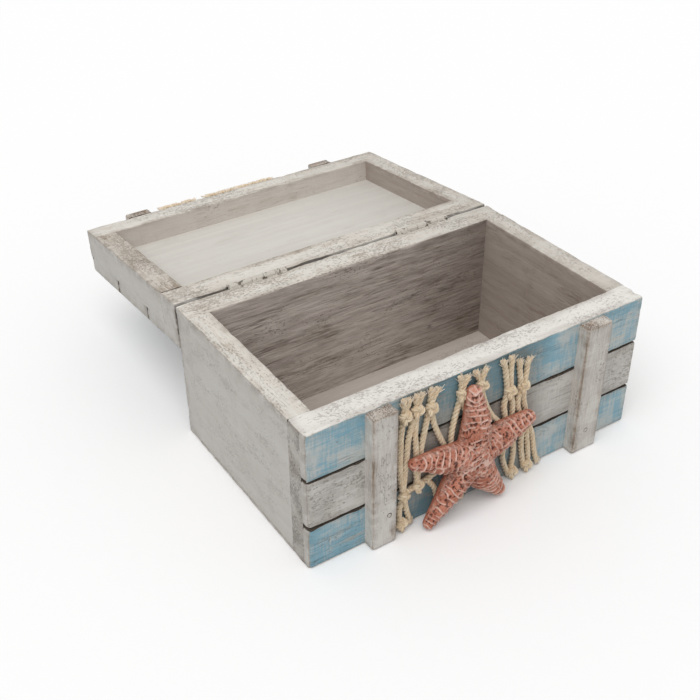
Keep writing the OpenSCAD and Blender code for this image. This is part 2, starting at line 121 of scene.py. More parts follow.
NET_LID_TAILS = [
    [[-32.4, 0.4], [-33, 3.4], [-34.1, 7.4]],
    [[-27.8, 0.4], [-28.8, 3.6], [-30.5, 7.8]],
    [[-21.8, 0.4], [-23, 3.6], [-24.4, 7.6]],
    [[-10.4, 0.4], [-11.2, 3.4], [-12.4, 7.4]],
    [[1.6, 0.4], [2.8, 3.8], [5.9, 8]],
    [[10.4, 0.4], [10, 3.8], [7.6, 8]],
    [[14.2, 0.4], [14.4, 3.8], [13.8, 8]],
]
NET_LID_KNOTS = [[-34.1, 7.4], [-30.5, 7.8], [-24.4, 7.6], [-12.4, 7.4], [-4.8, 7.4], [6.8, 8], [14, 8], [9.1, 16]]

STAR_MIDDLE = (-8.5, 22.6)
# Each arm's tip: x, z, radius, lift off the net, then its thick part's x, z, radius
STAR_ARMS = [
    (-9.4, 48.7, 2.5, 0.0, -7.6, 37.0, 5.0),
    (15.4, 28.0, 2.8, 0.0, 4.5, 25.8, 4.9),
    (2.9, 3.6, 2.6, 1.8, -3.7, 12.3, 5.6),
    (-27.0, 2.7, 2.1, 2.4, -17.7, 13.0, 4.3),
    (-32.2, 29.2, 2.1, 0.0, -22.5, 26.8, 4.5),
]


def paint(red, green, blue):
    """A colour as it looks on screen, 0 to 255, for a shader socket."""
    def linear(value):
        value = value / 255
        return value / 12.92 if value <= 0.04045 else ((value + 0.055) / 1.055) ** 2.4
    return (linear(red), linear(green), linear(blue), 1.0)


# ---------------------------------------------------------------- node helpers

class Bench:
    """Places nodes in one tree and joins them."""

    def __init__(self, tree):
        self.tree = tree

    def node(self, kind, inputs=None, **settings):
        made = self.tree.nodes.new(kind)
        for name, value in settings.items():
            setattr(made, name, value)
        for name, value in (inputs or {}).items():
            self.join(value, made.inputs[name])
        return made

    def join(self, value, socket):
        if isinstance(value, bpy.types.NodeSocket):
            self.tree.links.new(value, socket)
        else:
            socket.default_value = value

    def math(self, operation, a, b=0.0, clamp=False):
        return self.node("ShaderNodeMath", {0: a, 1: b}, operation=operation, use_clamp=clamp).outputs[0]

    def times(self, a, b):
        return self.math("MULTIPLY", a, b)

    def plus(self, a, b):
        return self.math("ADD", a, b)

    def minus(self, a, b):
        return self.math("SUBTRACT", a, b)

    def vector(self, operation, a, b=(0, 0, 0)):
        return self.node("ShaderNodeVectorMath", {0: a, 1: b}, operation=operation).outputs[0]

    def scaled(self, vector, factor):
        return self.node("ShaderNodeVectorMath", {0: vector, "Scale": factor}, operation="SCALE").outputs[0]

    def drawn_out(self, grain, along):
        """The grain's coordinates, in which a texture is longer along the board."""
        return self.vector("MULTIPLY", grain, (along, 1, 1))

    def mix(self, factor, a, b, blend="MIX"):
        made = self.node("ShaderNodeMix", {0: factor, 6: a, 7: b}, data_type="RGBA", blend_type=blend)
        return made.outputs[2]

    def band(self, value, low, high, to_low=0.0, to_high=1.0):
        """Value from low to high, eased onto to_low to to_high."""
        made = self.node("ShaderNodeMapRange", {"Value": value, "From Min": low, "From Max": high,
                         "To Min": to_low, "To Max": to_high}, interpolation_type="SMOOTHSTEP")
        return made.outputs[0]

    def noise(self, place, scale, detail=3.0, roughness=0.55, distortion=0.0):
        return self.node("ShaderNodeTexNoise", {"Vector": place, "Scale": scale, "Detail": detail,
                         "Roughness": roughness, "Distortion": distortion}).outputs["Fac"]

    def attribute(self, name, output="Fac"):
        return self.node("ShaderNodeAttribute", attribute_name=name).outputs[output]

    def place(self):
        return self.node("ShaderNodeTexCoord").outputs["Object"]

    def group(self, tree, inputs):
        return self.node("ShaderNodeGroup", inputs, node_tree=tree).outputs

    def bump(self, distance, height):
        return self.node("ShaderNodeBump", {"Strength": 1.0, "Distance": distance * MM, "Height": height}).outputs[0]

    def surface(self, kind, inputs):
        """The material's shader, joined to its output."""
        shader = self.node("ShaderNodeBsdf" + kind, inputs)
        self.join(shader.outputs[0], self.node("ShaderNodeOutputMaterial").inputs[0])


def new_material(name):
    """An empty material and its bench."""
    material = bpy.data.materials.new(name)
    material.use_nodes = True
    bench = Bench(material.node_tree)
    bench.tree.nodes.clear()
    return material, bench


def new_object(name, data):
    """A new object, linked to the scene."""
    made = bpy.data.objects.new(name, data)
    bpy.context.scene.collection.objects.link(made)
    return made


def hand_over(piece, body, slot, node):
    """Puts a finished piece on its body in place of the solid that it dresses."""
    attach(piece, body)
    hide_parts(node)


def shader_group(name, inputs, outputs):
    """An empty shader group with its named sockets, its bench, its input and its output node."""
    tree = bpy.data.node_groups.new(name, "ShaderNodeTree")
    for label, kind, value in inputs:
        socket = tree.interface.new_socket(label, in_out="INPUT", socket_type="NodeSocket" + kind)
        if value is not None:
            socket.default_value = value
    for label, kind in outputs:
        tree.interface.new_socket(label, in_out="OUTPUT", socket_type="NodeSocket" + kind)
    bench = Bench(tree)
    return tree, bench, bench.node("NodeGroupInput").outputs, bench.node("NodeGroupOutput").inputs


# ---------------------------------------------------------------- shared shader effects

def make_wood_grain():
    """Fine fibres, broad growth bands and thin drying cracks that run along a board."""
    tree, b, given, out = shader_group(
        "wood_grain",
        [("Grain", "Vector", None), ("Fineness", "Float", 1.0), ("Cracks", "Float", 0.5)],
        [("Fibres", "Float"), ("Bands", "Float"), ("Cracks", "Float")])
    fine = b.scaled(given["Grain"], given["Fineness"])
    wander = b.node("ShaderNodeTexNoise", {"Vector": fine, "Scale": 45.0, "Detail": 1.0}).outputs["Color"]
    wander = b.vector("MULTIPLY", b.vector("SUBTRACT", wander, (0.5, 0.5, 0.5)), (0, 0.0012, 0.0012))
    bent = b.vector("ADD", fine, wander)
    fibres = b.noise(b.drawn_out(bent, 0.08), 1900, 4, 0.62)
    bands = b.noise(b.drawn_out(bent, 0.035), 320, 3, 0.5)
    b.join(b.band(fibres, 0.3, 0.7), out["Fibres"])
    b.join(b.band(bands, 0.3, 0.7), out["Bands"])
    line = b.noise(b.drawn_out(bent, 0.045), 620, 2, 0.4)
    near = b.math("ABSOLUTE", b.minus(line, 0.5))
    where = b.band(b.noise(b.drawn_out(fine, 0.3), 130, 2), 0.52, 0.66)
    crack = b.times(b.band(near, 0.0, 0.022, 1.0, 0.0), where)
    b.join(b.math("MULTIPLY", crack, given["Cracks"], True), out["Cracks"])
    return tree


def make_open_pores():
    """Small dark dashes of sawn and sanded wood, in loose drifts."""
    tree, b, given, out = shader_group(
        "open_pores",
        [("Place", "Vector", None), ("Size", "Float", 1.0), ("Amount", "Float", 0.5)],
        [("Pits", "Float")])
    place = b.scaled(given["Place"], b.math("DIVIDE", 1.0, given["Size"]))
    specks = b.noise(b.drawn_out(place, 0.55), 1650, 3, 0.6, 0.3)
    drifts = b.noise(b.drawn_out(place, 0.4), 110, 2, 0.5)
    level = b.plus(b.times(given["Amount"], 0.22), b.times(drifts, 0.5))
    b.join(b.band(b.plus(specks, level), 0.90, 1.02), out["Pits"])
    return tree


def make_worn_paint():
    """How much paint is left: thinned along the grain, rubbed off near the edges."""
    tree, b, given, out = shader_group(
        "worn_paint",
        [("Grain", "Vector", None), ("Edge", "Float", None), ("Wear", "Float", 0.5), ("Rub", "Float", 0.5)],
        [("Paint", "Float"), ("Rubbed", "Float")])
    dry = b.noise(b.drawn_out(given["Grain"], 0.12), 700, 5, 0.66)
    patch = b.noise(b.drawn_out(given["Grain"], 0.45), 95, 3, 0.6)
    worn = b.plus(b.times(dry, 0.55), b.times(patch, 0.75))
    worn = b.plus(worn, b.times(b.minus(given["Wear"], 0.5), 0.6))
    paint_left = b.band(worn, 0.58, 0.78, 1.0, 0.0)
    reach = b.times(b.noise(given["Grain"], 420, 4, 0.6), b.times(given["Rub"], 0.0032))
    rubbed = b.band(b.minus(given["Edge"], reach), -0.0006, 0.0004, 1.0, 0.0)
    b.join(rubbed, out["Rubbed"])
    b.join(b.times(paint_left, b.minus(1.0, rubbed)), out["Paint"])
    return tree


def make_dry_brush():
    """Thin whitewash in soft patches, scratched lengthwise and crosswise like coarse linen."""
    tree, b, given, out = shader_group(
        "dry_brush",
        [("Grain", "Vector", None)],
        [("Wash", "Float")])
    patch = b.noise(b.vector("MULTIPLY", given["Grain"], (0.9, 0.7, 0.7)), 85, 2, 0.5, 0.4)
    lengthwise = b.noise(b.drawn_out(given["Grain"], 0.09), 1500, 3, 0.6)
    crosswise = b.noise(b.vector("MULTIPLY", given["Grain"], (1, 0.1, 0.1)), 1300, 3, 0.6)
    hairs = b.plus(b.times(lengthwise, 0.5), b.times(crosswise, 0.5))
    b.join(b.band(b.plus(patch, hairs), 0.84, 1.16), out["Wash"])
    return tree


def make_grime_and_shade():
    """Darkening that gathers towards the edges and in soft blotches: discolouring on most boards, painted shade of the
    gap on the hinge sides.
    """
    tree, b, given, out = shader_group(
        "grime_and_shade",
        [("Place", "Vector", None), ("Edge", "Float", None), ("Reach", "Float", 0.006), ("Blotches", "Float", 0.5)],
        [("Stain_and_shade", "Float")])
    cloud = b.noise(given["Place"], 75, 4, 0.62)
    drag = b.noise(b.drawn_out(given["Place"], 0.35), 210, 4, 0.6)
    reach = b.times(b.times(cloud, 2.0), given["Reach"])
    close = b.band(b.math("DIVIDE", given["Edge"], reach), 0.0, 1.0, 1.0, 0.0)
    close = b.times(close, b.band(drag, 0.35, 0.6))
    mottle = b.plus(b.times(cloud, 0.6), b.times(drag, 0.4))
    spots = b.times(b.band(mottle, 0.5, 0.68), given["Blotches"])
    b.join(b.math("MAXIMUM", close, spots), out["Stain_and_shade"])
    return tree


WOOD_GRAIN = make_wood_grain()
OPEN_PORES = make_open_pores()
WORN_PAINT = make_worn_paint()
GRIME_AND_SHADE = make_grime_and_shade()
DRY_BRUSH = make_dry_brush()


# Metres between which the shade behind the net fades: at its left, at its right and behind the planks
NET_LEFT, NET_RIGHT, NET_FRONT = (-0.040, -0.030), (0.018, 0.030), (-0.036, -0.030)


def wood_finish(name, wood, wood_dark, coat, coat_other, wear=0.5, rub=0.05, pores=0.05, pore_size=1.0,
                pore_colour=(128, 114, 100), pore_depth=0.7, fineness=1.0, cracks=0.05, fibres=0.06,
                stain_and_shade_colour=(150, 136, 122), reach=0.004, blotches=0.2, stain_and_shade_amount=0.35, wash=0.0,
                wash_colour=(196, 193, 186), stain_and_shade_end=None, net_shade=0.0, relief=0.25):
    """Wood under worn paint. The grain comes from each board's own attribute.

    stain_and_shade_end gives the two places along the box's width between which the board grows darker, and by how
    much; on the inner back wall this is partly discoloured wood and partly painted shade of its corner. net_shade says
    how much darker the front is behind the net.
    """
    wood, wood_dark, coat, coat_other, pore_colour, stain_and_shade_colour, wash_colour = (
        paint(*colour) for colour in (wood, wood_dark, coat, coat_other, pore_colour, stain_and_shade_colour, wash_colour))
    material, b = new_material(name)
    grain, edge, place = b.attribute("grain", "Vector"), b.attribute("edge"), b.place()
    lines = b.group(WOOD_GRAIN, {"Grain": grain, "Fineness": fineness, "Cracks": cracks})
    specks = b.group(OPEN_PORES, {"Place": grain, "Size": pore_size, "Amount": pores})["Pits"]
    layer = b.group(WORN_PAINT, {"Grain": grain, "Edge": edge, "Wear": wear, "Rub": rub})["Paint"]
    brushed = b.group(DRY_BRUSH, {"Grain": grain})["Wash"]
    dirt_and_shade = b.group(GRIME_AND_SHADE, {"Place": place, "Edge": edge, "Reach": reach, "Blotches": blotches})["Stain_and_shade"]

    bare = b.mix(lines["Fibres"], wood_dark, wood)
    coating = b.mix(lines["Bands"], coat, coat_other)
    colour = b.mix(layer, bare, coating)
    shade = b.times(b.minus(1.0, lines["Fibres"]), fibres)
    colour = b.mix(shade, colour, wood_dark)
    colour = b.mix(b.times(brushed, wash), colour, wash_colour)
    # Darkening towards the edges and in blotches: discolouring, and on the hinge sides painted shade of the gap.
    colour = b.mix(b.times(dirt_and_shade, stain_and_shade_amount), colour, stain_and_shade_colour, "MULTIPLY")
    # Darker towards one end of the width; on the inner back wall partly discoloured wood, partly painted shade of its
    # corner.
    if stain_and_shade_end:
        across = b.node("ShaderNodeSeparateXYZ", {"Vector": place}).outputs["X"]
        colour = b.mix(b.band(across, stain_and_shade_end[0], stain_and_shade_end[1], 0.0, stain_and_shade_end[2]), colour, paint(146, 136, 128),
                       "MULTIPLY")
    if net_shade:
        spot = b.node("ShaderNodeSeparateXYZ", {"Vector": place}).outputs
        behind = b.times(b.band(spot["X"], *NET_LEFT), b.band(spot["X"], *NET_RIGHT, 1.0, 0.0))
        behind = b.times(behind, b.band(spot["Y"], *NET_FRONT, net_shade, 0.0))
        colour = b.mix(behind, colour, paint(158, 152, 146), "MULTIPLY")
    colour = b.mix(b.times(specks, pore_depth), colour, pore_colour)
    colour = b.mix(b.times(lines["Cracks"], 0.85), colour, paint(58, 48, 42))

    height = b.times(lines["Fibres"], 0.35)
    height = b.plus(height, b.times(layer, 0.25))
    height = b.plus(height, b.times(brushed, wash * 0.3))
    height = b.minus(height, b.times(specks, 0.6))
    height = b.minus(height, lines["Cracks"])
    b.surface("Principled", {"Base Color": colour, "Roughness": b.band(layer, 0.0, 1.0, 0.92, 0.82),
                             "Normal": b.bump(relief, height), "Specular IOR Level": 0.3})
    return material


FINISH = {
    "blue_paint": wood_finish(
        "worn_blue_paint", (204, 200, 190), (160, 152, 140), (128, 172, 190), (138, 176, 190), wear=0.26, rub=0.15,
        pores=0.1, pore_depth=0.4, cracks=0.4, fibres=0.14, stain_and_shade_colour=(170, 170, 165), wash=0.75,
        wash_colour=(203, 201, 194), net_shade=0.55),
    "white_paint": wood_finish(
        "worn_white_paint", (196, 190, 180), (136, 128, 118), (203, 200, 195), (190, 187, 182), wear=0.36, rub=0.1,
        pores=0.25, pore_depth=0.5, cracks=0.7, fibres=0.35, stain_and_shade_amount=0.3, wash=0.6, wash_colour=(216, 213, 207),
        net_shade=0.65),
    "batten_paint": wood_finish(
        "batten_white_paint", (184, 168, 152), (138, 120, 104), (214, 210, 204), (204, 199, 192), wear=0.34,
        rub=0.42, pores=0.1, pore_depth=0.5, cracks=0.3, fibres=0.26, wash=0.6, wash_colour=(220, 217, 211)),
    "rim_white": wood_finish(
        "whitewashed_rim", (216, 209, 198), (186, 175, 162), (236, 233, 227), (230, 227, 220), wear=0.14, rub=0.1,
        pores=0.42, pore_size=0.85, pore_colour=(150, 136, 122), pore_depth=0.42, blotches=0.1, wash=0.3,
        wash_colour=(240, 237, 231), relief=0.2),
    "rim_sawn": wood_finish(
        "sawn_rim", (212, 200, 186), (178, 164, 148), (230, 226, 218), (222, 215, 205), wear=0.36, rub=0.15,
        pores=0.42, pore_colour=(150, 134, 118), pore_depth=0.45, cracks=0.4, fibres=0.14, blotches=0.3, wash=0.5,
        wash_colour=(234, 230, 222), stain_and_shade_end=(0.0, 0.062, 0.2), relief=0.3),
    "rim_brown": wood_finish(
        "worn_brown_rim", (196, 183, 168), (166, 152, 136), (216, 209, 199), (206, 197, 185), rub=0.15, pores=0.5,
        pore_colour=(142, 126, 110), pore_depth=0.5, cracks=0.3, fibres=0.2, blotches=0.4, stain_and_shade_amount=0.4, wash=0.4,
        wash_colour=(222, 216, 207), relief=0.3),
    "outer_white": wood_finish(
        "outer_white_paint", (184, 177, 167), (150, 139, 128), (197, 194, 189), (192, 188, 182), wear=0.2,
        rub=0.25, pores=0.3, pore_size=0.7, pore_colour=(150, 142, 134), pore_depth=0.3, reach=0.005, blotches=0.3,
        wash=0.3, wash_colour=(203, 200, 195), relief=0.15),
    "end_side": wood_finish(
        "rough_side_end", (186, 179, 170), (154, 144, 133), (195, 191, 185), (185, 180, 173), wear=0.34, rub=0.25,
        pores=0.62, pore_size=0.8, pore_colour=(122, 112, 102), pore_depth=0.5, cracks=0.1, fibres=0.15,
        reach=0.005, blotches=0.5, stain_and_shade_amount=0.5, wash=0.4, wash_colour=(202, 198, 192), relief=0.4),
    # The inner back wall, darker towards its right end: partly discoloured wood, partly painted shade of the corner.
    "inside_taupe": wood_finish(
        "inside_taupe", (204, 194, 185), (126, 114, 104), (216, 207, 199), (198, 188, 181), wear=0.40, pores=0.08,
        fineness=0.62, cracks=0.6, fibres=0.5, reach=0.002, stain_and_shade_amount=0.25, stain_and_shade_end=(0.0, 0.062, 0.62), relief=0.2),
    "inside_smooth": wood_finish(
        "inside_smooth", (190, 180, 170), (146, 133, 123), (193, 184, 175), (183, 173, 164), wear=0.3, cracks=0.12,
        fibres=0.18, reach=0.002, blotches=0.3, stain_and_shade_amount=0.3, wash=0.3, wash_colour=(204, 196, 188), relief=0.12),
    "inside_brown": wood_finish(
        "inside_brown", (176, 163, 152), (132, 117, 107), (178, 168, 159), (166, 154, 145), wear=0.35, cracks=0.15,
        fibres=0.25, stain_and_shade_colour=(168, 148, 136), reach=0.003, blotches=0.5, relief=0.15),
    "inside_pale": wood_finish(
        "inside_pale", (206, 198, 188), (160, 148, 138), (210, 204, 196), (202, 194, 186), wear=0.3, cracks=0.12,
        fibres=0.18, reach=0.002, stain_and_shade_amount=0.3, wash=0.3, wash_colour=(216, 210, 202), relief=0.12),
    "floor_panel": wood_finish(
        "floor_panel", (194, 184, 174), (156, 144, 132), (194, 185, 177), (184, 174, 166), wear=0.3, rub=0.1,
        cracks=0.1, fibres=0.15, reach=0.002, stain_and_shade_amount=0.25, relief=0.1),
    "lid_panel": wood_finish(
        "lid_panel_white", (212, 208, 200), (190, 183, 173), (216, 213, 206), (210, 206, 199), wear=0.25,
        pores=-0.5, fineness=0.8, cracks=0.02, fibres=0.10, reach=0.0015, blotches=0.3, stain_and_shade_amount=0.25,
        stain_and_shade_end=(0.01, 0.06, 0.16), relief=0.1),
    "end_grain": wood_finish(
        "rough_end_grain", (206, 186, 168), (156, 130, 110), (236, 231, 223), (218, 206, 194), rub=0.0, pores=0.6,
        pore_size=0.8, pore_colour=(132, 104, 84), cracks=0.1, fibres=0.2, blotches=0.1, stain_and_shade_amount=0.2, wash=0.6,
        wash_colour=(236, 231, 223), relief=0.6),
    # Beside the hinges: the edges along the narrow gap between box and lid are darkened with painted shade of the gap.
    "hinge_side": wood_finish(
        "hinge_side", (184, 177, 167), (150, 139, 128), (197, 194, 189), (192, 188, 182), wear=0.2, rub=0.1,
        pores=0.3, pore_colour=(150, 142, 134), pore_depth=0.3, stain_and_shade_colour=(96, 88, 80), reach=0.005, stain_and_shade_amount=0.85,
        relief=0.15),
    "dark_joint": wood_finish(
        "bare_joint", (112, 100, 90), (60, 52, 46), (98, 90, 82), (74, 66, 60), rub=0.0, pores=0.3, cracks=0.5,
        fibres=0.5, blotches=0.4, stain_and_shade_amount=0.5),
    "underside": wood_finish(
        "unpainted_underside", (204, 188, 164), (160, 140, 112), (206, 196, 178), (194, 180, 158), wear=0.55,
        rub=0.3, pores=0.3, cracks=0.4, fibres=0.3, blotches=0.3, stain_and_shade_amount=0.3),
}


# ---------------------------------------------------------------- noise for shapes

def lattice(i, j, k, seed):
    """A fixed number from 0 to 1 for each whole-numbered place."""
    h = (i * 374761393 + j * 668265263 + k * 2147483647 + seed * 1274126177) & 0xFFFFFFFF
    h = ((h ^ (h >> 13)) * 1274126177) & 0xFFFFFFFF
    return ((h ^ (h >> 16)) & 0xFFFF) / 65535.0


def bumps(points, size, seed):
    """Smooth noise from 0 to 1 at points; size is the length of a bump, one number or one per axis."""
    p = points / np.asarray(size, float) + 1000.0
    whole = np.floor(p).astype(np.int64)
    part = p - whole
    part = part * part * (3 - 2 * part)
    total = np.zeros(len(p))
    for dx in (0, 1):
        for dy in (0, 1):
            for dz in (0, 1):
                weight = np.ones(len(p))
                for axis, d in enumerate((dx, dy, dz)):
                    weight = weight * (part[:, axis] if d else 1 - part[:, axis])
                total += weight * lattice(whole[:, 0] + dx, whole[:, 1] + dy, whole[:, 2] + dz, seed)
    return total


def eased(value, low, high):
    t = np.clip((value - low) / (high - low), 0, 1)
    return t * t * (3 - 2 * t)


# ---------------------------------------------------------------- boards

LID_PLACE = (Matrix.Translation((0, AXIS_Y, AXIS_Z)) @ Matrix.Rotation(math.radians(-DROOP), 4, "X")
             @ Matrix.Translation((0, BACK_GAP / 2, -RIM_GAP / 2)))
NEAR_EDGE = (0.0, 0.12, 0.3, 0.55, 0.9, 1.35, 2.0)
# How far the wood beside the hinges stands out towards the other body
HINGE_LIP = 0.5
SIDES = ("x-", "x+", "y-", "y+", "z-", "z+")


def rule(low, high, step, extra):
    """Places of a board's grid lines along one axis, closer together near both ends."""
    half = (high - low) / 2
    near = [d for d in NEAR_EDGE if d < half - 0.05]
    lines = [low + d for d in near] + [high - d for d in near] + list(extra)
    count = max(int(round((high - low - 2 * near[-1]) / step)), 1)
    lines += list(np.linspace(low + near[-1], high - near[-1], count + 1)[1:-1])
    lines = sorted(lines)
    kept = [lines[0]]
    for value in lines[1:]:
        if value - kept[-1] > 0.015:
            kept.append(value)
    return np.array(kept)


def board_shell(low, high, step, extra):
    """Grid over the six faces of a box: points, quads and each quad's side number."""
    lines = [rule(low[a], high[a], step, extra.get("xyz"[a], ())) for a in range(3)]
    index, points, quads, sides = {}, [], [], []

    def corner(key):
        if key not in index:
            index[key] = len(points)
            points.append([lines[a][key[a]] for a in range(3)])
        return index[key]

    for axis in range(3):
        u, v = [a for a in range(3) if a != axis]
        for top in (0, 1):
            fixed = len(lines[axis]) - 1 if top else 0
            turn = (top == 1) == (axis != 1)
            for i in range(len(lines[u]) - 1):
                for j in range(len(lines[v]) - 1):
                    ring = []
                    for di, dj in ((0, 0), (1, 0), (1, 1), (0, 1)):
                        key = [0, 0, 0]
                        key[axis], key[u], key[v] = fixed, i + di, j + dj
                        ring.append(corner(tuple(key)))
                    quads.append(ring if turn else ring[::-1])
                    sides.append(2 * axis + top)
    return np.array(points, float), quads, np.array(sides)


def worn_edges(square, tight):
    """Pairs of sides that meet in an open edge."""
    open_sides = [s for s in SIDES if s not in square]
    pairs = [(p, q) for i, p in enumerate(open_sides) for q in open_sides[i + 1:] if p[0] != q[0]]
    return [pair for pair in pairs if pair not in tight]


def side_gap(points, low, high, side):
    """How far each point lies inside one side of the box."""
    axis = "xyz".index(side[0])
    return high[axis] - points[:, axis] if side[1] == "+" else points[:, axis] - low[axis]


def round_edge(points, low, high, pair, radius, span):
    """Moves the points near one edge onto a quarter round, between the span's ends in x."""
    gaps = [side_gap(points, low, high, s) for s in pair]
    q = np.stack([radius - gaps[0], radius - gaps[1]], 1)
    near = (q > 0).all(1) & (points[:, 0] > span[0]) & (points[:, 0] < span[1])
    length = np.linalg.norm(q, axis=1)
    pull = np.where(near, q.max(1) / np.maximum(length, 1e-9), 1.0)
    for n, side in enumerate(pair):
        axis, sign = "xyz".index(side[0]), 1 if side[1] == "+" else -1
        points[:, axis] += np.where(near, sign * (pull - 1) * q[:, n], 0.0)


def sink_hinge_seats(points, flat, rim, seats):
    """Makes room for the leaves and the knuckles in a board's hinge side, with a small lip beside them."""
    seat, face, pin_y, pin_z, out = (seats[k] for k in ("edge", "face", "pin_y", "pin_z", "out"))
    beside = np.abs(np.abs(flat[:, 0]) - HINGE_X) - HINGE_LEN / 2
    lip = HINGE_LIP * eased(flat[:, 2], rim - 5.5, rim - 0.4) * (beside > 0.3)
    points[:, 1] += out * lip * (np.abs(flat[:, 1] - face) < 0.6)
    for x in (-HINGE_X, HINGE_X):
        beside = np.abs(flat[:, 0] - x)
        on_face = (flat[:, 2] >= seat + 0.02) & (np.abs(flat[:, 1] - face) < 0.01)
        leaf = (beside < HINGE_LEN / 2 + 0.04) & on_face
        points[leaf, 1] = face - out * (LEAF_T + 0.03)
        dy, dz = points[:, 1] - pin_y, points[:, 2] - pin_z
        reach = np.hypot(dy, dz)
        inside = (beside < HINGE_LEN / 2 + 0.15) & (reach < POCKET_R)
        grow = POCKET_R / np.maximum(reach, 1e-6)
        points[inside, 1] = (pin_y + dy * grow)[inside]
        points[inside, 2] = (pin_z + dz * grow)[inside]


def board(node, low, high, faces, body="box", along="x", square=(), tight=(), spans=None, radius=0.35, rounds=(),
          wear=1.0, slot="white_wood", seed=1, step=1.15, hinge_seats=None):
    """One sawn board with eased, worn edges, in place of the node of the same name.

    faces names the finish of each side, "all" for the rest. square lists the sides that butt against a neighbour,
    tight the edges that close a joint, and spans the part of an edge that is open, as its two ends in x.
    rounds lists (side, side, radius) for edges with a larger round. along is the axis that the grain follows.
    hinge_seats says where the hinge leaves sit: their edge, the board's face, the pin's y and z, and the way out.
    """
    name = node + "_wood"
    low, high = np.array(low, float), np.array(high, float)
    spans = spans or {}
    extra = {"x": [x for span in spans.values() for x in span if low[0] < x < high[0]]}
    if hinge_seats:
        ends = [x + s * (HINGE_LEN / 2 + d) for x in (-HINGE_X, HINGE_X) for s in (-1, 1)
                for d in (0.02, 0.06, 0.13, 0.17)]
        seat_z = hinge_seats["edge"]
        extra = {"x": extra["x"] + ends, "z": [seat_z, seat_z + 0.04]}
    points, quads, sides = board_shell(low, high, step, extra)
    flat = points.copy()

    edges = worn_edges(square, tight)
    sizes = {(first, second): size for first, second, size in rounds}
    edge = np.full(len(points), 50.0)
    for pair in edges:
        span = spans.get(pair, (-1000, 1000))
        round_edge(points, low, high, pair, sizes.get(pair, radius), span)
        beyond = np.maximum(0, np.maximum(span[0] - flat[:, 0], flat[:, 0] - span[1]))
        reach = np.hypot(side_gap(flat, low, high, pair[0]), side_gap(flat, low, high, pair[1]))
        edge = np.minimum(edge, np.hypot(reach, beyond))

    # Inward wear: a little waviness, softened corners and small chips along the open edges
    shift = np.zeros_like(points)
    stretch = [2.2 if a == along else 1.0 for a in "xyz"]
    chips = eased(bumps(flat, np.multiply(stretch, 2.6), seed), 0.62, 0.95)
    nicks = bumps(flat, np.multiply(stretch, 1.1), seed + 1)
    wave = bumps(flat, np.multiply(stretch, 9.0), seed + 2)
    depth = wear * (0.22 * nicks + 0.5 * chips) * np.exp(-(edge / 0.75) ** 2) + 0.05 * wave
    for side in SIDES:
        if side in square:
            continue
        axis, sign = "xyz".index(side[0]), 1 if side[1] == "+" else -1
        on = np.exp(-(side_gap(flat, low, high, side) / 0.5) ** 2)
        shift[:, axis] -= sign * on * depth
    for side in square:
        shift[:, "xyz".index(side[0])] = 0.0
    points = points + shift
    if hinge_seats:
        sink_hinge_seats(points, flat, high[2], hinge_seats)

    axis = "xyz".index(along)
    other = [a for a in range(3) if a != axis]
    grain = np.stack([flat[:, axis], flat[:, other[0]], flat[:, other[1]]], 1) * MM
    grain += np.array([0.37, 0.71, 0.53]) * (seed % 17) * 0.31

    place = LID_PLACE if body == "lid" else Matrix.Identity(4)
    turned = points @ np.array(place.to_3x3()).T + np.array(place.translation)
    mesh = bpy.data.meshes.new(name)
    mesh.from_pydata((turned * MM).tolist(), [], quads)
    names = sorted(set(faces.values()))
    for finish in names:
        mesh.materials.append(FINISH[finish])
    pick = [names.index(faces.get(SIDES[s], faces["all"])) for s in sides]
    mesh.polygons.foreach_set("material_index", pick)
    mesh.polygons.foreach_set("use_smooth", [True] * len(quads))
    mesh.attributes.new("grain", "FLOAT_VECTOR", "POINT").data.foreach_set("vector", grain.astype(np.float32).ravel())
    mesh.attributes.new("edge", "FLOAT", "POINT").data.foreach_set("value", (edge * MM).astype(np.float32))
    mesh.update()
    mesh.set_sharp_from_angle(angle=math.radians(50))
    hand_over(new_object(name, mesh), body, slot, node)


HALF = BOX_W / 2
WALL_T, SIDE_W, PLANK_T = 8.6, 9.0, 2.8


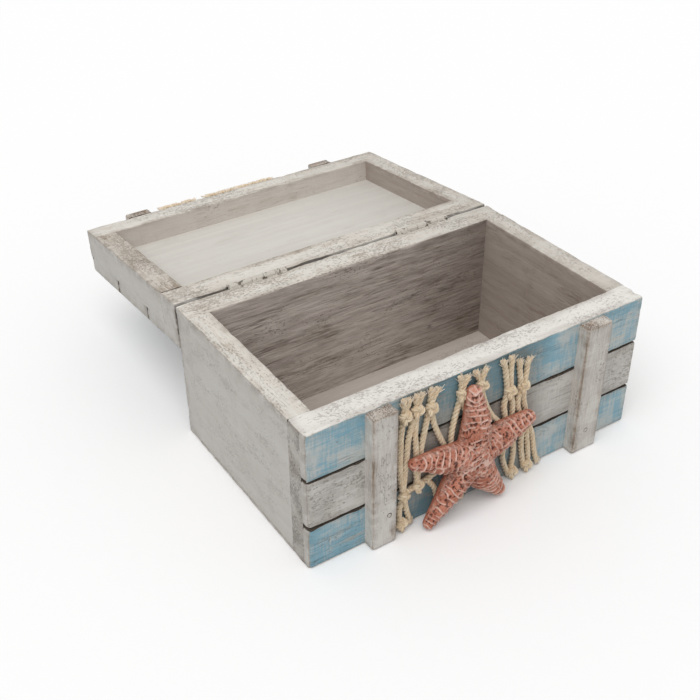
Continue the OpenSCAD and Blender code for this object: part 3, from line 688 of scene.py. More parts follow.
def make_body_boards():
    def body_board(node, faces, **details):
        low, high = ([c / MM for c in corner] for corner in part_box(node))
        board(node, low, high, {"z+": "rim_sawn", "z-": "underside", "all": "dark_joint", **faces}, **details)

    between = (-HALF + WALL_T, HALF - WALL_T)
    both_ends = {"x-": "outer_white", "x+": "outer_white"}
    for side, out, inward, inside, seed in (("left", "x-", "x+", "inside_smooth", 3),
                                            ("right", "x+", "x-", "inside_brown", 4)):
        body_board(side + "_wall", {out: "outer_white", inward: inside}, along="y", square=("y-", "y+", "z-"),
                   slot="grey_wood", seed=seed)
    body_board("back_wall", {**both_ends, "y-": "inside_taupe", "y+": "hinge_side"},
               tight=(("x-", "y-"), ("x+", "y-")), spans={("y-", "z+"): between}, slot="grey_wood", seed=5,
               hinge_seats={"edge": AXIS_Z - LEAF_H - 0.03, "face": BACK_Y, "pin_y": AXIS_Y, "pin_z": AXIS_Z,
                            "out": 1})
    body_board("front_board", {"z+": "rim_white", "x-": "end_side", "x+": "end_side", "y+": "inside_smooth"},
               square=("y-",), tight=(("x-", "y+"), ("x+", "y+")), spans={("y+", "z+"): between}, seed=6)
    body_board("bottom_panel", {"z+": "floor_panel", "all": "outer_white"}, square=("y-", "y+"),
               slot="grey_wood", seed=7)
    ends = (("x-", "y-", 1.6), ("x+", "y-", 0.8), ("x+", "z-", 1.3))
    for level, tint, edges, rounds, wear, seed in (
            ("bottom", "blue", {"z-": "underside"}, (("y-", "z-", 0.8), ("x+", "z+", 1.3)), 1.7, 8),
            ("middle", "white", {}, (("x+", "z+", 1.3),), 1.7, 9),
            ("top", "blue", {"z+": "rim_white"}, (("y-", "z+", 0.5),), 1.5, 6)):
        faces = {**both_ends, "y+": "dark_joint", "z-": "dark_joint", "z+": "dark_joint", "all": tint + "_paint",
                 **edges}
        body_board("front_plank_" + level, faces, square=("y+",), rounds=ends + rounds, wear=wear,
                   slot=tint + "_wood", seed=seed)
    for side, seed in (("left", 11), ("right", 12)):
        faces = {"z+": "end_grain", "z-": "end_grain", "y+": "dark_joint", "all": "batten_paint"}
        body_board("front_batten_" + side, faces, along="z", square=("y+",), radius=0.6, seed=seed, wear=1.1,
                   step=0.95)


def make_lid_boards():
    def lid_board(node, low, high, faces, **details):
        board("lid_" + node, low, high, {"all": "dark_joint", **faces}, body="lid", **details)

    front, inner, back = LID_D - PLANK_T, LID_D - PLANK_T - LID_FRONT_W, LID_BACK_W
    between = (-HALF + SIDE_W, HALF - SIDE_W)
    rails = {"z+": "rim_sawn", "z-": "dark_joint"}
    both_ends = {"x-": "outer_white", "x+": "outer_white"}
    upright = {"along": "y", "square": ("y-", "y+", "z-")}
    lid_board("left_rail", (-HALF, back, LID_SEAM), (between[0], inner, 0),
              {**rails, "z+": "rim_brown", "x-": "outer_white", "x+": "inside_smooth"}, seed=21, **upright)
    lid_board("right_rail", (between[1], back, LID_SEAM), (HALF, inner, 0),
              {**rails, "x+": "outer_white", "x-": "inside_brown"}, seed=22, **upright)
    lid_board("back_rail", (-HALF, 0, LID_SEAM), (HALF, back, 0),
              {**rails, "y+": "inside_smooth", "y-": "hinge_side", "all": "outer_white"}, square=("z-",),
              tight=(("x-", "y+"), ("x+", "y+")), spans={("y+", "z+"): (-HALF, between[1])}, seed=23,
              hinge_seats={"edge": -LEAF_H + RIM_GAP / 2 - 0.03, "face": 0.0, "pin_y": -BACK_GAP / 2,
                           "pin_z": RIM_GAP / 2, "out": -1})
    lid_board("front_rail", (-HALF, inner, LID_SEAM), (HALF, front, 0),
              {**rails, "y-": "inside_pale", "all": "outer_white"}, square=("y+", "z-"),
              tight=(("x-", "y-"), ("x+", "y-")), spans={("y-", "z+"): between}, seed=24)
    lid_board("inner_panel", (between[0], back, LID_SEAM), (between[1], inner, LID_PANEL), {"z+": "lid_panel"},
              square=SIDES[:5], wear=0.3, seed=25)
    lid_board("front_plank", (-HALF, front, LID_SEAM), (HALF, LID_D, 0),
              {**rails, **both_ends, "y-": "dark_joint", "all": "white_paint"}, square=("y-",), seed=24)
    width = (LID_D - 2 * GROOVE) / 3
    for i, (place, tint, rounds) in enumerate((("back", "blue", ()), ("middle", "white", ()),
                                               ("front", "blue", (("y+", "z-", 2.0),)))):
        y, finish = i * (width + GROOVE), tint + "_paint"
        faces = {**both_ends, "z+": "dark_joint", "y+": finish if i == 2 else "dark_joint",
                 "y-": "dark_joint" if i else "outer_white", "all": finish}
        lid_board("plank_" + place, (-HALF, y, -LID_H), (HALF, y + width, LID_SEAM), faces, square=("z+",),
                  rounds=rounds + (("x-", "z-", 1.2), ("x+", "z-", 1.2)), slot=tint + "_wood", seed=27 + i)
    for side, x, half, seed in LID_BATTENS:
        strip = {"radius": 0.6, "wear": 1.1}
        lid_board("batten_" + side, (x - half, 2.0, -LID_H - BATTEN_T), (x + half, LID_D + BATTEN_T, -LID_H),
                  {"y+": "end_grain", "y-": "end_grain", "z+": "dark_joint", "all": "batten_paint"}, along="y",
                  square=("z+",), seed=seed, step=1.0, **strip)
        lid_board("front_batten_" + side, (x - half, LID_D, -LID_H), (x + half, LID_D + BATTEN_T, 0),
                  {"z+": "end_grain", "y-": "dark_joint", "z-": "dark_joint", "all": "batten_paint"}, along="z",
                  square=("y-", "z-"), seed=seed + 2, step=0.95, **strip)


make_body_boards()
make_lid_boards()


# ---------------------------------------------------------------- cord net

def make_cord_material():
    """Beige cotton: fine yarn along each strand, paler at the frayed tips."""
    material, b = new_material("beige_cotton_cord")
    around, along, tip, place = b.attribute("around", "Vector"), b.attribute("along"), b.attribute("tip"), b.place()
    yarn = b.vector("ADD", b.vector("MULTIPLY", around, (0.0012, 0.0012, 0.0012)),
                    b.node("ShaderNodeCombineXYZ", {"Z": b.times(along, 0.22)}).outputs[0])
    threads = b.noise(yarn, 2600, 3, 0.6)
    patches = b.noise(place, 260, 3, 0.6)
    colour = b.mix(b.band(threads, 0.35, 0.65), paint(196, 170, 136), paint(238, 224, 198))
    colour = b.mix(b.times(b.band(patches, 0.45, 0.7), 0.5), colour, paint(222, 194, 160))
    colour = b.mix(b.times(b.band(tip, 0.2, 1.0), 0.75), colour, paint(246, 232, 214))
    b.surface("Principled", {"Base Color": colour, "Roughness": 0.92, "Normal": b.bump(0.12, threads),
                             "Specular IOR Level": 0.2, "Sheen Weight": 0.25})
    return material


def named_float(b, kind, geometry, name, value):
    """Stores a value under a name on the geometry."""
    made = b.node("GeometryNodeStoreNamedAttribute", {}, data_type=kind, domain="POINT")
    made.inputs["Name"].default_value = name
    b.join(geometry, made.inputs["Geometry"])
    b.join(value, made.inputs["Value"])
    return made.outputs[0]


def start_tree(name, sockets):
    """An empty geometry tree with its named inputs, its bench, its input and its output node."""
    tree = bpy.data.node_groups.new(name, "GeometryNodeTree")
    tree.is_modifier = True
    tree.interface.new_socket("Paths", in_out="INPUT", socket_type="NodeSocketGeometry")
    for label, kind, value in sockets:
        socket = tree.interface.new_socket(label, in_out="INPUT", socket_type="NodeSocket" + kind)
        if value is not None:
            socket.default_value = value
    tree.interface.new_socket("Made", in_out="OUTPUT", socket_type="NodeSocketGeometry")
    b = Bench(tree)
    return tree, b, b.node("NodeGroupInput").outputs, b.node("NodeGroupOutput").inputs


def sweep(b, curve, sides, scale, material, out):
    """Ends a tree: a round swept along the curve, each point's direction round it stored as "around"."""
    circle = b.node("GeometryNodeCurvePrimitiveCircle", {"Resolution": sides, "Radius": 1.0}).outputs[0]
    place = b.node("GeometryNodeInputPosition").outputs[0]
    profile = named_float(b, "FLOAT_VECTOR", circle, "around", b.vector("NORMALIZE", place))
    mesh = b.node("GeometryNodeCurveToMesh", {"Curve": curve, "Profile Curve": profile, "Fill Caps": True,
                  "Scale": scale}).outputs[0]
    mesh = b.node("GeometryNodeSetShadeSmooth", {"Geometry": mesh}).outputs[0]
    mesh = b.node("GeometryNodeRealizeInstances", {"Geometry": mesh}).outputs[0]
    b.join(b.node("GeometryNodeSetMaterial", {"Geometry": mesh, "Material": material}).outputs[0], out)


def make_cord_tree():
    """Three strands twisted round each path."""
    tree, b, given, out = start_tree("twisted_cord", [
        ("Cord Width", "Float", CORD_WIDTH * MM), ("Lay Length", "Float", 5.4 * MM), ("Step", "Float", 0.4 * MM),
        ("Material", "Material", None)])
    curve = b.node("GeometryNodeMeshToCurve", {"Mesh": given["Paths"]}).outputs[0]
    resample = b.node("GeometryNodeResampleCurve", {"Curve": curve, "Length": given["Step"]}, mode="LENGTH").outputs[0]
    length = b.node("GeometryNodeSplineParameter").outputs["Length"]
    tangent = b.node("GeometryNodeInputTangent").outputs[0]
    normal = b.node("GeometryNodeInputNormal").outputs[0]
    side = b.vector("CROSS_PRODUCT", tangent, normal)
    curve = named_float(b, "FLOAT", resample, "along", length)
    thin = b.node("GeometryNodeInputNamedAttribute", {"Name": "thin"}, data_type="FLOAT").outputs[0]
    size = b.times(given["Cord Width"], b.minus(1.0, thin))
    join = b.node("GeometryNodeJoinGeometry")
    for strand in range(3):
        turn = b.math("DIVIDE", length, given["Lay Length"])
        angle = b.times(b.plus(turn, strand / 3), 2 * math.pi)
        out_by = b.times(size, 0.245)
        offsets = []
        for way, wave in ((normal, "COSINE"), (side, "SINE")):
            offsets.append(b.scaled(way, b.times(b.math(wave, angle), out_by)))
        moved = b.node("GeometryNodeSetPosition", {"Geometry": curve,
                       "Offset": b.vector("ADD", offsets[0], offsets[1])}).outputs[0]
        b.join(moved, join.inputs[0])
    sweep(b, join.outputs[0], 7, b.times(size, 0.275), given["Material"], out["Made"])
    return tree


def make_strand_tree():
    """A thin tapered strand along each path, for the frayed ends."""
    tree, b, given, out = start_tree("frayed_strand", [
        ("Strand Width", "Float", 0.42 * MM), ("Material", "Material", None)])
    curve = b.node("GeometryNodeMeshToCurve", {"Mesh": given["Paths"]}).outputs[0]
    length = b.node("GeometryNodeSplineParameter").outputs["Length"]
    curve = named_float(b, "FLOAT", curve, "along", length)
    tip = b.node("GeometryNodeInputNamedAttribute", {"Name": "tip"}, data_type="FLOAT").outputs[0]
    thin = b.node("GeometryNodeInputNamedAttribute", {"Name": "thin"}, data_type="FLOAT").outputs[0]
    taper = b.times(b.minus(1.0, b.times(tip, 0.6)), b.minus(1.0, thin))
    scale = b.times(b.times(given["Strand Width"], 0.5), taper)
    sweep(b, curve, 4, scale, given["Material"], out["Made"])
    return tree


def smooth_path(points, spacing):
    """A smooth line through the points, with points about spacing apart."""
    p = np.array(points, float)
    p = np.vstack([2 * p[0] - p[1], p, 2 * p[-1] - p[-2]])
    made = []
    for i in range(1, len(p) - 2):
        count = max(int(np.linalg.norm(p[i + 1] - p[i]) / spacing), 2)
        for t in np.arange(count) / count:
            made.append(0.5 * (2 * p[i] + (p[i + 1] - p[i - 1]) * t
                               + (2 * p[i - 1] - 5 * p[i] + 4 * p[i + 1] - p[i + 2]) * t ** 2
                               + (3 * p[i] - p[i - 1] - 3 * p[i + 1] + p[i + 2]) * t ** 3))
    made.append(p[-2])
    return np.array(made)


def run_tree(name, tree, paths, values, settings):
    """Runs a geometry tree on polylines and returns the plain mesh it makes."""
    points, edges, stored = [], [], {key: [] for key in values}
    for i, path in enumerate(paths):
        start = len(points)
        points += path.tolist()
        edges += [(start + k, start + k + 1) for k in range(len(path) - 1)]
        for key in values:
            stored[key] += list(values[key][i])
    mesh = bpy.data.meshes.new(name)
    mesh.from_pydata([[c * MM for c in p] for p in points], edges, [])
    for key, numbers in stored.items():
        mesh.attributes.new(key, "FLOAT", "POINT").data.foreach_set("value", np.array(numbers, np.float32))
    holder = new_object(name, mesh)
    modifier = holder.modifiers.new("make", "NODES")
    modifier.node_group = tree
    keys = {item.name: item.identifier for item in tree.interface.items_tree if item.in_out == "INPUT"}
    for label, value in settings.items():
        modifier[keys[label]] = value
    made = bpy.data.meshes.new_from_object(holder.evaluated_get(bpy.context.evaluated_depsgraph_get()))
    bpy.data.objects.remove(holder)
    return made


def knot_paths(x, z, depth, turn, size=1.0):
    """One cord wound into a small overhand knot, in front of the face at y = 0."""
    t = np.linspace(0.12, 2 * math.pi - 0.12, 46) + turn
    flat_x = (np.sin(t) + 2 * np.sin(2 * t)) / 3
    flat_z = (np.cos(t) - 2 * np.cos(2 * t)) / 3
    deep = -np.sin(3 * t)
    tilt = 0.35 * math.sin(turn * 3)
    px = x + size * 1.35 * (flat_x * math.cos(tilt) - flat_z * math.sin(tilt))
    pz = z + size * 1.75 * (flat_x * math.sin(tilt) + flat_z * math.cos(tilt))
    return np.stack([px, depth + 0.62 * size * deep, pz], 1)


# The knots' depth and their lowest place; how far a frayed strand may stand off the wood
KNOT_Y, KNOT_FOOT, FRAY_Y = 2.1, 1.2, 3.9


def fray(chance, end, heading, spread, strand, tuft):
    """A cord end's loose strands, each with how much slimmer it is; they fold outward where they meet the rim."""
    count, shortest, longest = tuft
    steps = np.linspace(0, 1, 5)[:, None]
    for _ in range(count):
        aim = heading + spread * np.array([chance.normal(0, 0.5), -abs(chance.normal(0, 0.4)) * 0.6,
                                           chance.normal(0, 0.12)])
        aim /= np.linalg.norm(aim)
        root = end - heading * 2.4 + np.array([chance.normal(0, 0.5), chance.normal(0, 0.36), 0])
        reach = chance.uniform(shortest, longest)
        bend = chance.normal(0, 0.3, 3) * spread
        line = root + aim * reach * steps + bend * steps ** 2
        over = np.maximum(0.2 + 0.6 * strand - line[:, 2], 0)
        line[:, 2] += over
        line[:, 1] = np.clip(line[:, 1] - 0.9 * over, -FRAY_Y, -0.3 - 0.5 * strand)
        yield line, chance.uniform(-0.35, 0.35)


def make_net(name, node, body, cords, knots, top_ends, foot_ends, to_place, knot_size=1.0, strand=0.42,
             tuft=(34, 2.3, 3.4)):
    """Cords with their knots and frayed ends; x, depth and height before to_place puts them on the box."""
    chance = np.random.default_rng(17)
    paths, thin = [], []
    strands, tips, strand_thin = [], [], []
    for i, cord in enumerate(cords):
        depth = -CORD_Y - CORD_STEP * (i % 4)
        path = smooth_path([[p[0], depth, p[1]] for p in cord], 0.6)
        wobble = np.stack([bumps(path + i * 7.0, 5.0, 60) - 0.5, 0.25 * (bumps(path + i * 7.0, 5.0, 61) - 0.5),
                           np.zeros(len(path))], 1)
        fade = np.minimum(1, np.minimum(np.arange(len(path)), np.arange(len(path))[::-1]) / 4)[:, None]
        path = path + 0.7 * wobble * fade
        paths.append(path)
        thin.append(np.zeros(len(path)))
        ends = []
        if i in top_ends:
            ends.append((path[0], path[0] - path[3], top_ends[i]))
        if i in foot_ends:
            ends.append((path[-1], path[-1] - path[-4], foot_ends[i]))
        for end, heading, spread in ends:
            for line, slimmer in fray(chance, end, heading / np.linalg.norm(heading), spread, strand, tuft):
                strands.append(line)
                tips.append(np.linspace(0, 1, len(line)))
                strand_thin.append(np.full(len(line), slimmer))
    for n, (x, z) in enumerate(knots):
        loop = knot_paths(x, z, -KNOT_Y, n * 1.9, knot_size)
        loop[:, 2] = np.maximum(loop[:, 2], KNOT_FOOT)
        paths.append(loop)
        thin.append(np.full(len(loop), 0.1))
    cord_mesh = run_tree(name + "_cords", CORD_TREE, [to_place(path) for path in paths], {"thin": thin},
                         {"Material": CORD})
    strand_mesh = run_tree(name + "_strands", STRAND_TREE, [to_place(line) for line in strands],
                           {"tip": tips, "thin": strand_thin}, {"Material": CORD, "Strand Width": strand * MM})
    merge_meshes(name, [cord_mesh, strand_mesh], CORD, body, node, "net_cord")


def merge_meshes(name, meshes, material, body, node, slot):
    """Puts plain meshes of one material together as one piece."""
    objects = [new_object(name, m) for m in meshes]
    bpy.ops.object.select_all(action="DESELECT")
    for o in objects:
        o.select_set(True)
    bpy.context.view_layer.objects.active = objects[0]
    bpy.ops.object.join()
    piece = objects[0]
    piece.data.materials.clear()
    piece.data.materials.append(material)
    piece.data.polygons.foreach_set("material_index", [0] * len(piece.data.polygons))
    hand_over(piece, body, slot, node)


CORD = make_cord_material()
CORD_TREE = make_cord_tree()
STRAND_TREE = make_strand_tree()


def on_body_front(points):
    return points + np.array([0, FRONT_Y, 0])


def on_lid_front(points):
    turned = np.stack([points[:, 0], LID_D - points[:, 1], -points[:, 2]], 1)
    return turned @ np.array(LID_PLACE.to_3x3()).T + np.array(LID_PLACE.translation)


make_net("front_net_cord", "front_net", "box", NET_FRONT_CORDS + NET_FRONT_TAILS, NET_FRONT_KNOTS,
         {0: 0.6, 2: 0.6, 4: 0.6, 8: 0.7, 10: 0.6, 11: 0.6, 15: 0.6, 16: 0.5, 17: 0.5, 18: 0.7,
          24: 0.6, 25: 0.6, 26: 0.7, 27: 0.7},
         {0: 0.2, 1: 0.2, 7: 0.3, 13: 0.2, 19: 0.2, 20: 0.2, 21: 0.2, 22: 0.2, 23: 0.3}, on_body_front, 1.2)
make_net("lid_net_cord", "lid_net", "lid", NET_LID_CORDS + NET_LID_TAILS, NET_LID_KNOTS,
         {i: 1.2 for i in (*range(10), *range(11, 18))}, {}, on_lid_front, 1.0, 0.75, (56, 2.4, 4.2))


# ---------------------------------------------------------------- starfish

def make_starfish_material():
    """Terracotta resin with pale ridges, dark pits and a dusting of whitewash."""
    material, b = new_material("terracotta_starfish")
    ridge, pit, place = b.attribute("ridge"), b.attribute("pit"), b.place()
    clouds = b.noise(place, 130, 3, 0.6)
    grit = b.noise(place, 1500, 3, 0.65)
    specks = b.noise(place, 850, 2, 0.5, 0.4)
    colour = b.mix(b.band(clouds, 0.35, 0.68), paint(172, 106, 84), paint(200, 132, 108))
    colour = b.mix(b.times(b.band(grit, 0.35, 0.65, 1.0, 0.0), 0.3), colour, paint(140, 80, 62))
    hollow = b.math("MAXIMUM", pit, b.times(b.band(specks, 0.61, 0.68), 0.9))
    colour = b.mix(b.times(hollow, 0.9), colour, paint(66, 34, 27))
    mottle = b.plus(b.times(clouds, 0.5), b.times(grit, 0.5))
    pale = b.times(ridge, b.band(mottle, 0.32, 0.48))
    colour = b.mix(b.times(pale, 0.85), colour, paint(226, 194, 180))
    height_up = b.node("ShaderNodeSeparateXYZ", {"Vector": place}).outputs["Z"]
    dusty = b.band(b.plus(b.times(clouds, 0.45), b.times(grit, 0.55)), 0.50, 0.66)
    dust = b.times(dusty, b.band(height_up, 0.014, 0.036, 0.05, 0.34))
    colour = b.mix(b.times(dust, b.minus(1.0, hollow)), colour, paint(222, 200, 190))
    height = b.minus(b.times(grit, 0.5), hollow)
    b.surface("Principled", {"Base Color": colour, "Roughness": 0.72, "Normal": b.bump(0.22, height),
                             "Specular IOR Level": 0.35})
    return material


def cone_between(a, ra, b_, rb, rings=14, sides=24):
    """Points and faces of a fat arm: two balls and the skin between them."""
    a, b_ = np.array(a, float), np.array(b_, float)
    axis = (b_ - a) / np.linalg.norm(b_ - a)
    side = np.cross(axis, (0, 1, 0))
    side /= np.linalg.norm(side)
    up = np.cross(side, axis)
    points, faces = [], []
    stations = [(a, ra, math.pi * (1 - t)) for t in np.linspace(0, 0.5, rings)]
    stations += [(b_, rb, math.pi * (1 - t)) for t in np.linspace(0.5, 1, rings)]
    for middle, radius, angle in stations:
        for k in range(sides):
            w = 2 * math.pi * k / sides
            points.append(middle + radius * (math.cos(angle) * axis
                          + math.sin(angle) * (math.cos(w) * side + math.sin(w) * up)))
    rows = len(stations)
    for r in range(rows - 1):
        for k in range(sides):
            n = (k + 1) % sides
            faces.append((r * sides + k, r * sides + n, (r + 1) * sides + n, (r + 1) * sides + k))
    faces.append(tuple(range(sides))[::-1])
    faces.append(tuple(range((rows - 1) * sides, rows * sides)))
    return points, faces


def make_starfish():
    """Five arms melted together, then ridged across each arm."""
    middle = np.array([STAR_MIDDLE[0], STAR_BACK_Y - 1.6, STAR_MIDDLE[1]])
    points, faces = [], []

    def take(made):
        start = len(points)
        points.extend(made[0])
        faces.extend(tuple(start + i for i in f) for f in made[1])

    for x, z, radius, lift, thick_x, thick_z, thick in STAR_ARMS:
        tip = (x, STAR_BACK_Y - radius * 0.75 - lift, z)
        body = (thick_x, STAR_BACK_Y - 6.8 + thick - 0.4 * lift, thick_z)
        take(cone_between(middle, 6.1, body, thick))
        take(cone_between(body, thick, tip, radius))
    take(cone_between(middle + (-1.5, 0.4, 0), 7.1, middle + (1.5, 0.4, 0.5), 7.1))
    mesh = bpy.data.meshes.new("starfish_resin")
    mesh.from_pydata([[c * MM for c in p] for p in points], [], faces)
    piece = new_object("starfish_resin", mesh)
    remesh = piece.modifiers.new("melt", "REMESH")
    remesh.mode, remesh.voxel_size = "VOXEL", 0.27 * MM
    made = bpy.data.meshes.new_from_object(piece.evaluated_get(bpy.context.evaluated_depsgraph_get()))
    piece.modifiers.clear()
    piece.data = made
    made.name = "starfish_resin"
    count = len(made.vertices)
    co = np.zeros(count * 3, np.float32)
    made.vertices.foreach_get("co", co)
    p = co.reshape(-1, 3).astype(float) / MM
    pair = np.zeros(len(made.edges) * 2, np.int32)
    made.edges.foreach_get("vertices", pair)
    pair = pair.reshape(-1, 2)
    degree = np.bincount(pair.ravel(), minlength=count)[:, None]

    def relax(values, rounds):
        for _ in range(rounds):
            total = np.zeros_like(values)
            np.add.at(total, pair[:, 0], values[pair[:, 1]])
            np.add.at(total, pair[:, 1], values[pair[:, 0]])
            values = total / degree
        return values

    p = relax(p, 8)
    # Flat back, pressed against the net
    arm_lift = np.zeros(count)
    along, across, reach = np.zeros(count), np.zeros(count), np.full(count, -1e9)
    hub = np.array(STAR_MIDDLE)
    flat = p[:, [0, 2]] - hub
    for x, z, radius, lift, *_ in STAR_ARMS:
        way = np.array([x, z]) - hub
        length = np.linalg.norm(way)
        way = way / length
        s, w = flat @ way, flat @ np.array([-way[1], way[0]])
        score = s - np.abs(w)
        mine = score > reach
        reach = np.where(mine, score, reach)
        along = np.where(mine, s, along)
        across = np.where(mine, w, across)
        arm_lift = np.where(mine, lift * eased(s, 6, length), arm_lift)
    p[:, 1] = np.minimum(p[:, 1], STAR_BACK_Y - 0.05 - arm_lift * 0.8)

    made.vertices.foreach_set("co", (p * MM).astype(np.float32).ravel())
    made.update()
    normal = np.zeros(count * 3, np.float32)
    made.vertices.foreach_get("normal", normal)
    normal = normal.reshape(-1, 3).astype(float)

    # Ridges bow towards the middle and break up; a loose network covers the middle
    drift = 1.3 * (bumps(p, 3.6, 71) - 0.5) + 0.5 * (bumps(p, 1.3, 72) - 0.5)
    phase = (along + 0.055 * across ** 2 + 1.5 * drift) / 2.15
    line = 1 - np.abs((phase % 1.0) * 2 - 1)
    stripes = eased(line, 0.64, 0.9) * eased(bumps(p, 2.6, 73), 0.22, 0.4)
    spine = eased(np.abs(across + 0.8 * (bumps(p, 2.2, 80) - 0.5)), 0.45, 0.1) * eased(bumps(p, 3.0, 81), 0.4, 0.55)
    web = eased(np.abs(bumps(p, 2.4, 74) - 0.5), 0.06, 0.0) + eased(np.abs(bumps(p, 1.7, 75) - 0.5), 0.06, 0.0)
    in_middle = eased(np.hypot(*flat.T), 12, 6)
    rim = eased(bumps(p, 1.5, 79), 0.35, 0.6) * eased(np.abs(normal[:, 1]), 0.55, 0.25)
    ridge = np.maximum(stripes * (1 - 0.5 * in_middle), np.clip(web, 0, 1) * (0.08 + 0.92 * in_middle))
    ridge = np.maximum(ridge, 0.7 * spine * (1 - in_middle))
    front = eased(-normal[:, 1], -0.35, 0.15)
    ridge = np.clip(np.maximum(ridge, 0.4 * rim), 0, 1) * front
    pit = eased(bumps(p, 0.66, 76), 0.62, 0.76) * (1 - ridge) * front
    lumps = 0.5 * (bumps(p, 1.7, 77) - 0.5) + 0.2 * (bumps(p, 0.7, 78) - 0.5)
    height = 0.46 * ridge - 0.4 * pit + (0.6 * lumps - 0.1) * front
    p = p + normal * height[:, None]
    p[:, 1] = np.clip(p[:, 1], STAR_FRONT_Y, STAR_BACK_Y)
    p[:, 2] = np.maximum(p[:, 2], 0.1)
    made.vertices.foreach_set("co", (p * MM).astype(np.float32).ravel())
    made.attributes.new("ridge", "FLOAT", "POINT").data.foreach_set("value", ridge.astype(np.float32))
    made.attributes.new("pit", "FLOAT", "POINT").data.foreach_set("value", pit.astype(np.float32))
    made.polygons.foreach_set("use_smooth", [True] * len(made.polygons))
    made.materials.clear()
    made.materials.append(make_starfish_material())
    made.update()
    hand_over(piece, "box", "starfish", "starfish")


make_starfish()


# ---------------------------------------------------------------- hinges and nails

def metal_finish(name, metal, coat, cover, roughness, scale):
    """Steel, painted over where cover is high; the paint is chipped in small flakes."""
    material, b = new_material(name)
    place = b.place()
    flakes = b.noise(place, scale, 4, 0.62)
    fine = b.noise(place, 2400, 3, 0.6)
    painted = b.band(b.plus(flakes, cover - 0.5), 0.44, 0.54)
    steel = b.mix(b.band(fine, 0.3, 0.7), metal, tuple(c * 0.55 for c in metal[:3]) + (1.0,))
    coating = b.mix(b.band(fine, 0.35, 0.7), coat, tuple(c * 0.82 for c in coat[:3]) + (1.0,))
    colour = b.mix(painted, steel, coating)
    b.surface("Principled", {"Base Color": colour, "Roughness": b.band(painted, 0, 1, roughness, 0.7),
                             "Metallic": b.band(painted, 0, 1, 1.0, 0.0),
                             "Normal": b.bump(0.08, b.plus(painted, b.times(fine, 0.3)))})
    return material


def dress_metal():
    leaf = metal_finish("painted_hinge", paint(120, 112, 102), paint(206, 200, 190), 0.58, 0.5, 420)
    pin = metal_finish("dark_steel_pin", paint(104, 98, 92), paint(150, 142, 132), 0.2, 0.5, 600)
    nail = metal_finish("painted_nail", paint(140, 132, 124), paint(176, 170, 162), 0.8, 0.55, 900)
    for name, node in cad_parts.items():
        if name.startswith("hinge_pin"):
            material = pin
        elif "nails" in name:
            material = nail
        elif name.startswith("hinge"):
            material = leaf
        else:
            continue
        node.data.materials.clear()
        node.data.materials.append(material)


def make_batten_nails():
    """The nail in each batten: a low domed head that stands just proud of the wood, and its shank; a dark ring round
    the head is painted shade.
    """
    outline = ((0.2, 0.2), (0.45, 0.18), (0.62, 0.12), (0.7, 0.05), (0.95, 0.04), (1.0, -0.04), (0.7, -0.38),
               (0.44, -0.42), (0.44, -4.3), (0.2, -4.4))
    sides, points, faces, ring = 24, [], [], []
    for x, z in BATTEN_NAILS:
        start = len(points)
        for radius, out in outline:
            for k in range(sides):
                angle = 2 * math.pi * k / sides
                points.append(((x + radius * math.cos(angle)) * MM, (BATTEN_FACE_Y - out) * MM,
                               (z + radius * math.sin(angle)) * MM))
        for r in range(len(outline) - 1):
            for k in range(sides):
                n = (k + 1) % sides
                faces.append([start + i for i in (r * sides + k, (r + 1) * sides + k, (r + 1) * sides + n,
                                                  r * sides + n)])
                # The dark ring round the head is painted shade, left open at the lower left.
                ring.append(int(r in (3, 4, 5) and not 13 <= k <= 16))
        faces.append([start + k for k in range(sides)])
        faces.append([start + (len(outline) - 1) * sides + k for k in range(sides)][::-1])
        ring += [0, 1]
    mesh = bpy.data.meshes.new("batten_nails_steel")
    mesh.from_pydata(points, [], faces)
    for finish in (("painted_nail_head", paint(132, 120, 108), paint(196, 190, 182), 0.7, 0.6, 1500),
                   ("nail_ring_painted_shade", paint(84, 72, 62), paint(112, 100, 90), 0.5, 0.7, 1500)):
        mesh.materials.append(metal_finish(*finish))
    mesh.polygons.foreach_set("material_index", ring)
    mesh.polygons.foreach_set("use_smooth", [True] * len(faces))
    mesh.update()
    mesh.set_sharp_from_angle(angle=math.radians(50))
    hand_over(new_object("batten_nails_steel", mesh), "box", "bare_steel", "batten_nails")


dress_metal()
make_batten_nails()


# ---------------------------------------------------------------- camera, light and floor

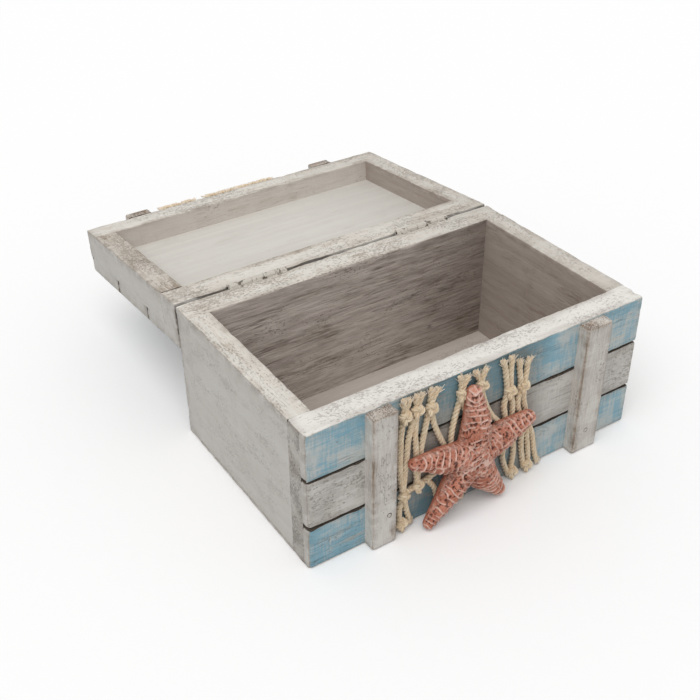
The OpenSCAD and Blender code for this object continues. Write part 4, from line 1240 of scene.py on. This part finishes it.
def make_camera():
    """The photograph's viewpoint, found from the box's straight edges."""
    azimuth, elevation, roll = (math.radians(a) for a in (-33.0893, 34.4583, -0.4795))
    back = np.array([math.sin(azimuth) * math.cos(elevation), -math.cos(azimuth) * math.cos(elevation),
                     math.sin(elevation)])
    right = np.cross((0, 0, 1), back)
    right /= np.linalg.norm(right)
    up = np.cross(back, right)
    turned_right = math.cos(roll) * right + math.sin(roll) * up
    turned_up = -math.sin(roll) * right + math.cos(roll) * up
    camera = new_object("camera", bpy.data.cameras.new("camera"))
    camera.data.sensor_width = 36
    camera.data.lens = 36 * 1045.80 / 700
    camera.data.clip_start = 0.01
    place = Matrix([[turned_right[i], turned_up[i], back[i], c * MM]
                    for i, c in enumerate((-187.913, -249.066, 248.283))] + [[0, 0, 0, 1]])
    camera.matrix_world = place
    bpy.context.scene.camera = camera


def seen_directly(b):
    """1 for what the camera sees, also in a reflection or through glass."""
    rays = b.node("ShaderNodeLightPath").outputs
    seen = b.math("MAXIMUM", rays["Is Camera Ray"], rays["Is Glossy Ray"])
    return b.math("MAXIMUM", seen, rays["Is Transmission Ray"])


def make_light():
    """An even white sky and a broad soft sun from above and the left."""
    world = bpy.data.worlds.new("studio")
    bpy.context.scene.world = world
    world.use_nodes = True
    b = Bench(world.node_tree)
    b.tree.nodes.clear()
    strength = b.band(seen_directly(b), 0.0, 1.0, 0.62, 1.0)
    sky = b.node("ShaderNodeBackground", {"Color": (1, 1, 1, 1), "Strength": strength})
    b.join(sky.outputs[0], b.node("ShaderNodeOutputWorld").inputs[0])
    sun = bpy.data.lights.new("soft_sun", "SUN")
    sun.energy, sun.angle = 1.35, math.radians(50)
    new_object("soft_sun", sun).rotation_euler = (math.radians(18), math.radians(-24), 0)


def make_floor():
    """A plain pale floor that the camera sees as white, with the box's shadow."""
    mesh = bpy.data.meshes.new("floor")
    mesh.from_pydata([(-3, -3, 0), (3, -3, 0), (3, 3, 0), (-3, 3, 0)], [], [(0, 1, 2, 3)])
    material, b = new_material("pale_floor")
    b.surface("Diffuse", {"Color": b.mix(seen_directly(b), (0.72, 0.72, 0.72, 1), (1, 1, 1, 1))})
    mesh.materials.append(material)
    new_object("floor", mesh)


make_camera()
make_light()
make_floor()
bpy.context.scene.view_settings.view_transform = "Standard"
